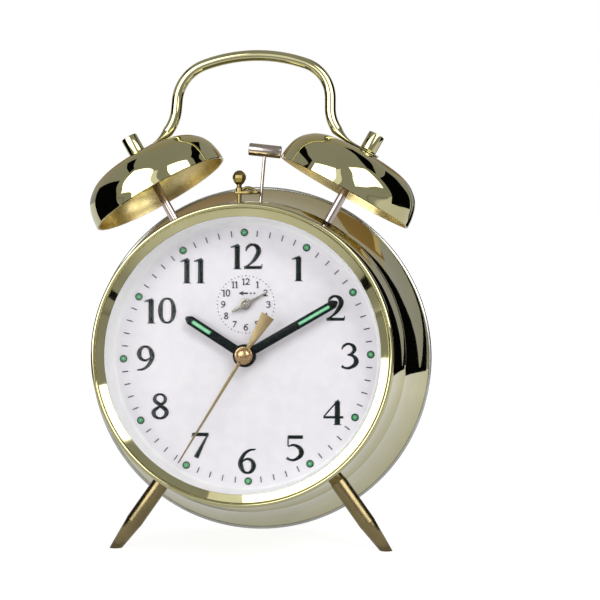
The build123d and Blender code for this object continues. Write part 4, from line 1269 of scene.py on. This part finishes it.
@dataclass(frozen=True)
class Card:
    """An upright card that only mirrors see, given by the angles it fills as seen from a point."""

    name: str
    azimuths: Pair
    elevations: Pair
    distance: float
    bright: float
    roll: float = 0.0
    eye: Triple = (0.0, 0.0, 0.12)
    tint: str = "ffffff"


@dataclass
class Studio:
    """White table, soft lamps, white and black cards for the metal to mirror, and the camera."""

    ambient: float = 0.4
    table_size: float = 30.0
    table_seen: float = 0.885
    # What mirrors see of the table is painted light: a pool brightest near the clock that fades over these depths
    # towards the front, darkened by a painted shadow within these reaches of the clock.
    table_mirrored: Pair = (0.15, 0.64)
    table_depths: Pair = (-0.45, -0.25)
    table_dark: float = 0.72
    table_reach: Pair = (0.08, 0.24)
    tent: float = 0.39
    tent_radius: float = 2.4
    black: float = 0.002
    lamps: tuple[Softbox, ...] = (
        Softbox("left_softbox", -32, 10, 1.5, (0.85, 0.75), 2.5),
        Softbox("right_softbox", 30, 40, 1.5, (0.6, 0.6), 5.8),
        Softbox("top_softbox", 150, 75, 1.5, (1.0, 0.8), 1.6),
    )
    cards: tuple[Card, ...] = (
        Card("left_white_card", (-57, -9), (4, 46), 0.9, 4.4),
        Card("middle_card", (-9, 1), (4, 42), 0.9, 1.2),
        Card("right_white_card", (22, 72), (12, 52), 0.9, 4.4),
        Card("left_black_card", (-124, -64), (-22, 22), 0.3, 0.002, roll=14.0, eye=(-0.05, 0.0, 0.13)),
        Card("left_upper_card", (-126, -66), (43, 51), 0.5, 0.002),
        Card("right_black_card", (84, 138), (-16, 36), 0.5, 0.002, eye=(0.05, 0.0, 0.13)),
        Card("right_upper_card", (88, 160), (45, 57), 0.5, 0.002),
        Card("rear_card", (160, 225), (7, 60), 1.0, 0.42, tint="fff4dc"),
        Card("brown_card", (164, 196), (3, 24), 0.22, 0.31, eye=(-0.1, 0.0, 0.12), tint="ffdcaa"),
        Card("gold_card", (173, 187), (8, 22.6), 0.34, 0.27, eye=(0.12, 0.0, 0.12), tint="ffcf80"),
        Card("gold_streak", (178.8, 181.2), (9, 19), 0.33, 0.6, roll=20.0, eye=(0.155, 0.0, 0.12), tint="ffe3a4"),
        Card("tongue_card", (170, 190), (0.0, 25), 0.315, 0.4, eye=(0.26, 0.0, 0.0)),
        Card("table_edge_card", (-69.6, 26.4), (0.0, 2.1), 0.4956, 0.01, eye=(0.0, 0.0, 0.0)),
    )
    curtain_depth: float = 300.0
    curtain: tuple[Pair, ...] = (
        (125, 0), (126, 53), (133, 82), (125, 94), (108, 115), (84, 131), (42, 137), (42, 149), (94, 145), (121, 140),
        (138, 131), (159, 117), (174, 102), (196, 81), (213, 58), (225, 33), (232, 17), (238, 8), (244, 8), (252, 28),
        (261, 77), (256, 111), (237, 150), (214, 184), (180, 216), (181, 219), (217, 190), (242, 160), (262, 127),
        (274, 102), (283, 61), (287, 11), (288, 0),
    )
    distance: float = 652.8
    azimuth: float = 6.274
    elevation: float = -0.743
    roll: float = -0.145
    focal: float = 119.394
    sensor: float = 36.0
    clip: Pair = (0.01, 50.0)
    shift: Pair = (0.0904, 0.0932)

    @staticmethod
    def bearing(azimuth: float, elevation: float) -> Vector:
        """Unit vector from the clock to an azimuth (0 in front, 90 to the right) and elevation."""
        a, e = radians(azimuth), radians(elevation)
        return Vector((sin(a) * cos(e), -cos(a) * cos(e), sin(e)))

    def camera(self) -> None:
        """Stand the camera where it sees the dial at the wanted angle."""
        away = self.bearing(self.azimuth, self.elevation)
        turn = CASE.matrix.to_3x3().normalized()
        ahead = -(turn @ away)
        right = ahead.cross(turn @ Vector((0, 0, 1))).normalized()
        upward, r = right.cross(ahead), radians(self.roll)
        x = right * cos(r) - upward * sin(r)
        y = right * sin(r) + upward * cos(r)
        lens = Bench.start("studio_camera", bpy.ops.object.camera_add, location=CASE.matrix @ (away * self.distance))
        lens.matrix_world = Matrix.Translation(lens.location) @ Matrix((x, y, -ahead)).transposed().to_4x4()
        lens.data.lens, lens.data.sensor_width = self.focal, self.sensor
        lens.data.shift_x, lens.data.shift_y = self.shift
        lens.data.clip_start, lens.data.clip_end = self.clip
        bpy.context.scene.camera = lens

    def lamp(self, box: Softbox) -> None:
        """Hang a soft lamp that faces the clock.

        Args:
            box: the lamp.
        """
        place = self.bearing(box.azimuth, box.elevation) * box.distance + STAGE_CENTRE
        light = Bench.start(box.name, bpy.ops.object.light_add, type="AREA", location=place)
        light.data.shape = "RECTANGLE"
        light.data.size, light.data.size_y = box.size
        light.data.energy = box.bright * pi * box.size[0] * box.size[1]
        light.visible_glossy = False
        light.rotation_mode = "QUATERNION"
        light.rotation_quaternion = (STAGE_CENTRE - place).to_track_quat("-Z", "Y")

    @staticmethod
    def mirrored_only(piece: Piece, bright: float, tint: str = "ffffff") -> None:
        """Make a stage piece glow evenly and show in mirrors alone.

        Args:
            piece: the piece.
            bright: how bright it looks.
            tint: code of its colour.
        """
        desk = MaterialDesk(piece.name)
        desk.dress(Base_Color=(0, 0, 0, 1), Specular_IOR_Level=0.0, Emission_Color=colour(tint),
                   Emission_Strength=bright)
        piece.data.materials.append(desk.material)
        piece.visible_camera = piece.visible_diffuse = piece.visible_transmission = piece.visible_shadow = False

    def card(self, card: Card) -> None:
        """Stand a card upright where it fills its angles from its eye point.

        Args:
            card: the card.
        """
        middle, wide = sum(card.azimuths) / 2, radians(card.azimuths[1] - card.azimuths[0])
        low, high = (card.eye[2] + card.distance * tan(radians(e)) for e in card.elevations)
        x, y = card.distance * sin(radians(middle)), card.distance * cos(radians(middle))
        piece = Bench.start(card.name, bpy.ops.mesh.primitive_plane_add, size=1)
        piece.matrix_world = (
            moved(card.eye[0] + x, card.eye[1] - y, (low + high) / 2) @ turned("Z", middle) @ turned("X", 90)
            @ turned("Z", card.roll) @ Matrix.Diagonal((2 * card.distance * tan(wide / 2), high - low, 1, 1)))
        Bench.apply_place()
        self.mirrored_only(piece, card.bright, card.tint)

    def black_curtain(self) -> None:
        """Stand a black cut-out behind the clock, whose curved edge the case mirrors."""
        piece = Bench.sheet("black_curtain", list(self.curtain), 1.0)
        piece.data.transform(moved(0, self.curtain_depth * MM, 0) @ Matrix.Scale(MM, 4))
        self.mirrored_only(piece, self.black)

    def grey_tent(self) -> None:
        """Stand an even grey tent round the stage for the metal to mirror."""
        dome = Bench.start("grey_tent", bpy.ops.mesh.primitive_uv_sphere_add, segments=48, ring_count=24,
                           radius=self.tent_radius)
        with Bench.editing(dome):
            bpy.ops.mesh.bisect(plane_co=(0, 0, MM), plane_no=(0, 0, 1), clear_inner=True)
        self.mirrored_only(dome, self.tent)

    def table(self) -> None:
        """Lay a white table that fades into the backdrop and keeps a faint shadow; mirrors see it with painted light,
        brighter near the clock than towards the front, and a painted shadow right round the clock.
        """
        floor = Bench.start("table", bpy.ops.mesh.primitive_plane_add, size=self.table_size)
        desk = MaterialDesk("table_white")
        desk.dress(Base_Color=desk.ramp(desk.noise(5.0), "f4f4f4", "f8f8f8"), Roughness=0.9, Specular_IOR_Level=0.0)
        depth = desk.add("SeparateXYZ", Vector=desk.where, out="Y")
        reach = desk.add("VectorMath", desk.where, mode="LENGTH", out="Value")
        # Painted light and shadow for mirrors: brightness by depth, times a painted shadow round the middle of the
        # stage.
        mirrored = desk.add("Math", desk.span(depth, *self.table_mirrored, *self.table_depths),
                            desk.span(reach, self.table_dark, 1.0, *self.table_reach), mode="MULTIPLY")
        direct = desk.span(desk.add("LightPath", out="Is Camera Ray"), 0.0, self.table_seen, 0.0, 1.0)
        shown = desk.add("Math", mirrored, direct, mode="MAXIMUM")
        seen = desk.add("BsdfPrincipled", Base_Color=(0.3, 0.3, 0.3, 1), Specular_IOR_Level=0.0,
                        Emission_Color=(1, 1, 1, 1), Emission_Strength=shown)
        desk.split(desk.shader.outputs[0], seen, "Material Output")
        floor.data.materials.append(desk.material)

    def backdrop(self) -> None:
        """Light the stage evenly, and show white behind it."""
        world = bpy.data.worlds.new("studio")
        bpy.context.scene.world = world
        world.cycles.sampling_method = "NONE"
        world.use_nodes = True
        desk = Desk(world.node_tree)
        plain = desk.tree.nodes["Background"]
        desk.feed(plain.inputs["Color"], (1, 1, 1, 1))
        desk.feed(plain.inputs["Strength"], self.ambient)
        desk.split(plain.outputs[0], desk.add("Background", Color=(1, 1, 1, 1), Strength=1.0), "World Output")

    def build(self) -> None:
        """Set up the whole studio."""
        self.camera()
        bpy.context.scene.view_settings.view_transform = "Standard"
        self.backdrop()
        self.table()
        for box in self.lamps:
            self.lamp(box)
        self.grey_tent()
        for card in self.cards:
            self.card(card)
        self.black_curtain()


def main() -> None:
    """Build the clock piece by piece, then the studio around it."""
    for group in (CaseBody(), Bells(), Handle(), Striker(), Feet(), DialPrint(), Hands(), Movement(), Studio()):
        LOG.info("-- %s", type(group).__name__)
        group.build()
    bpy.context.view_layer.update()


if __name__ == "__main__":
    main()
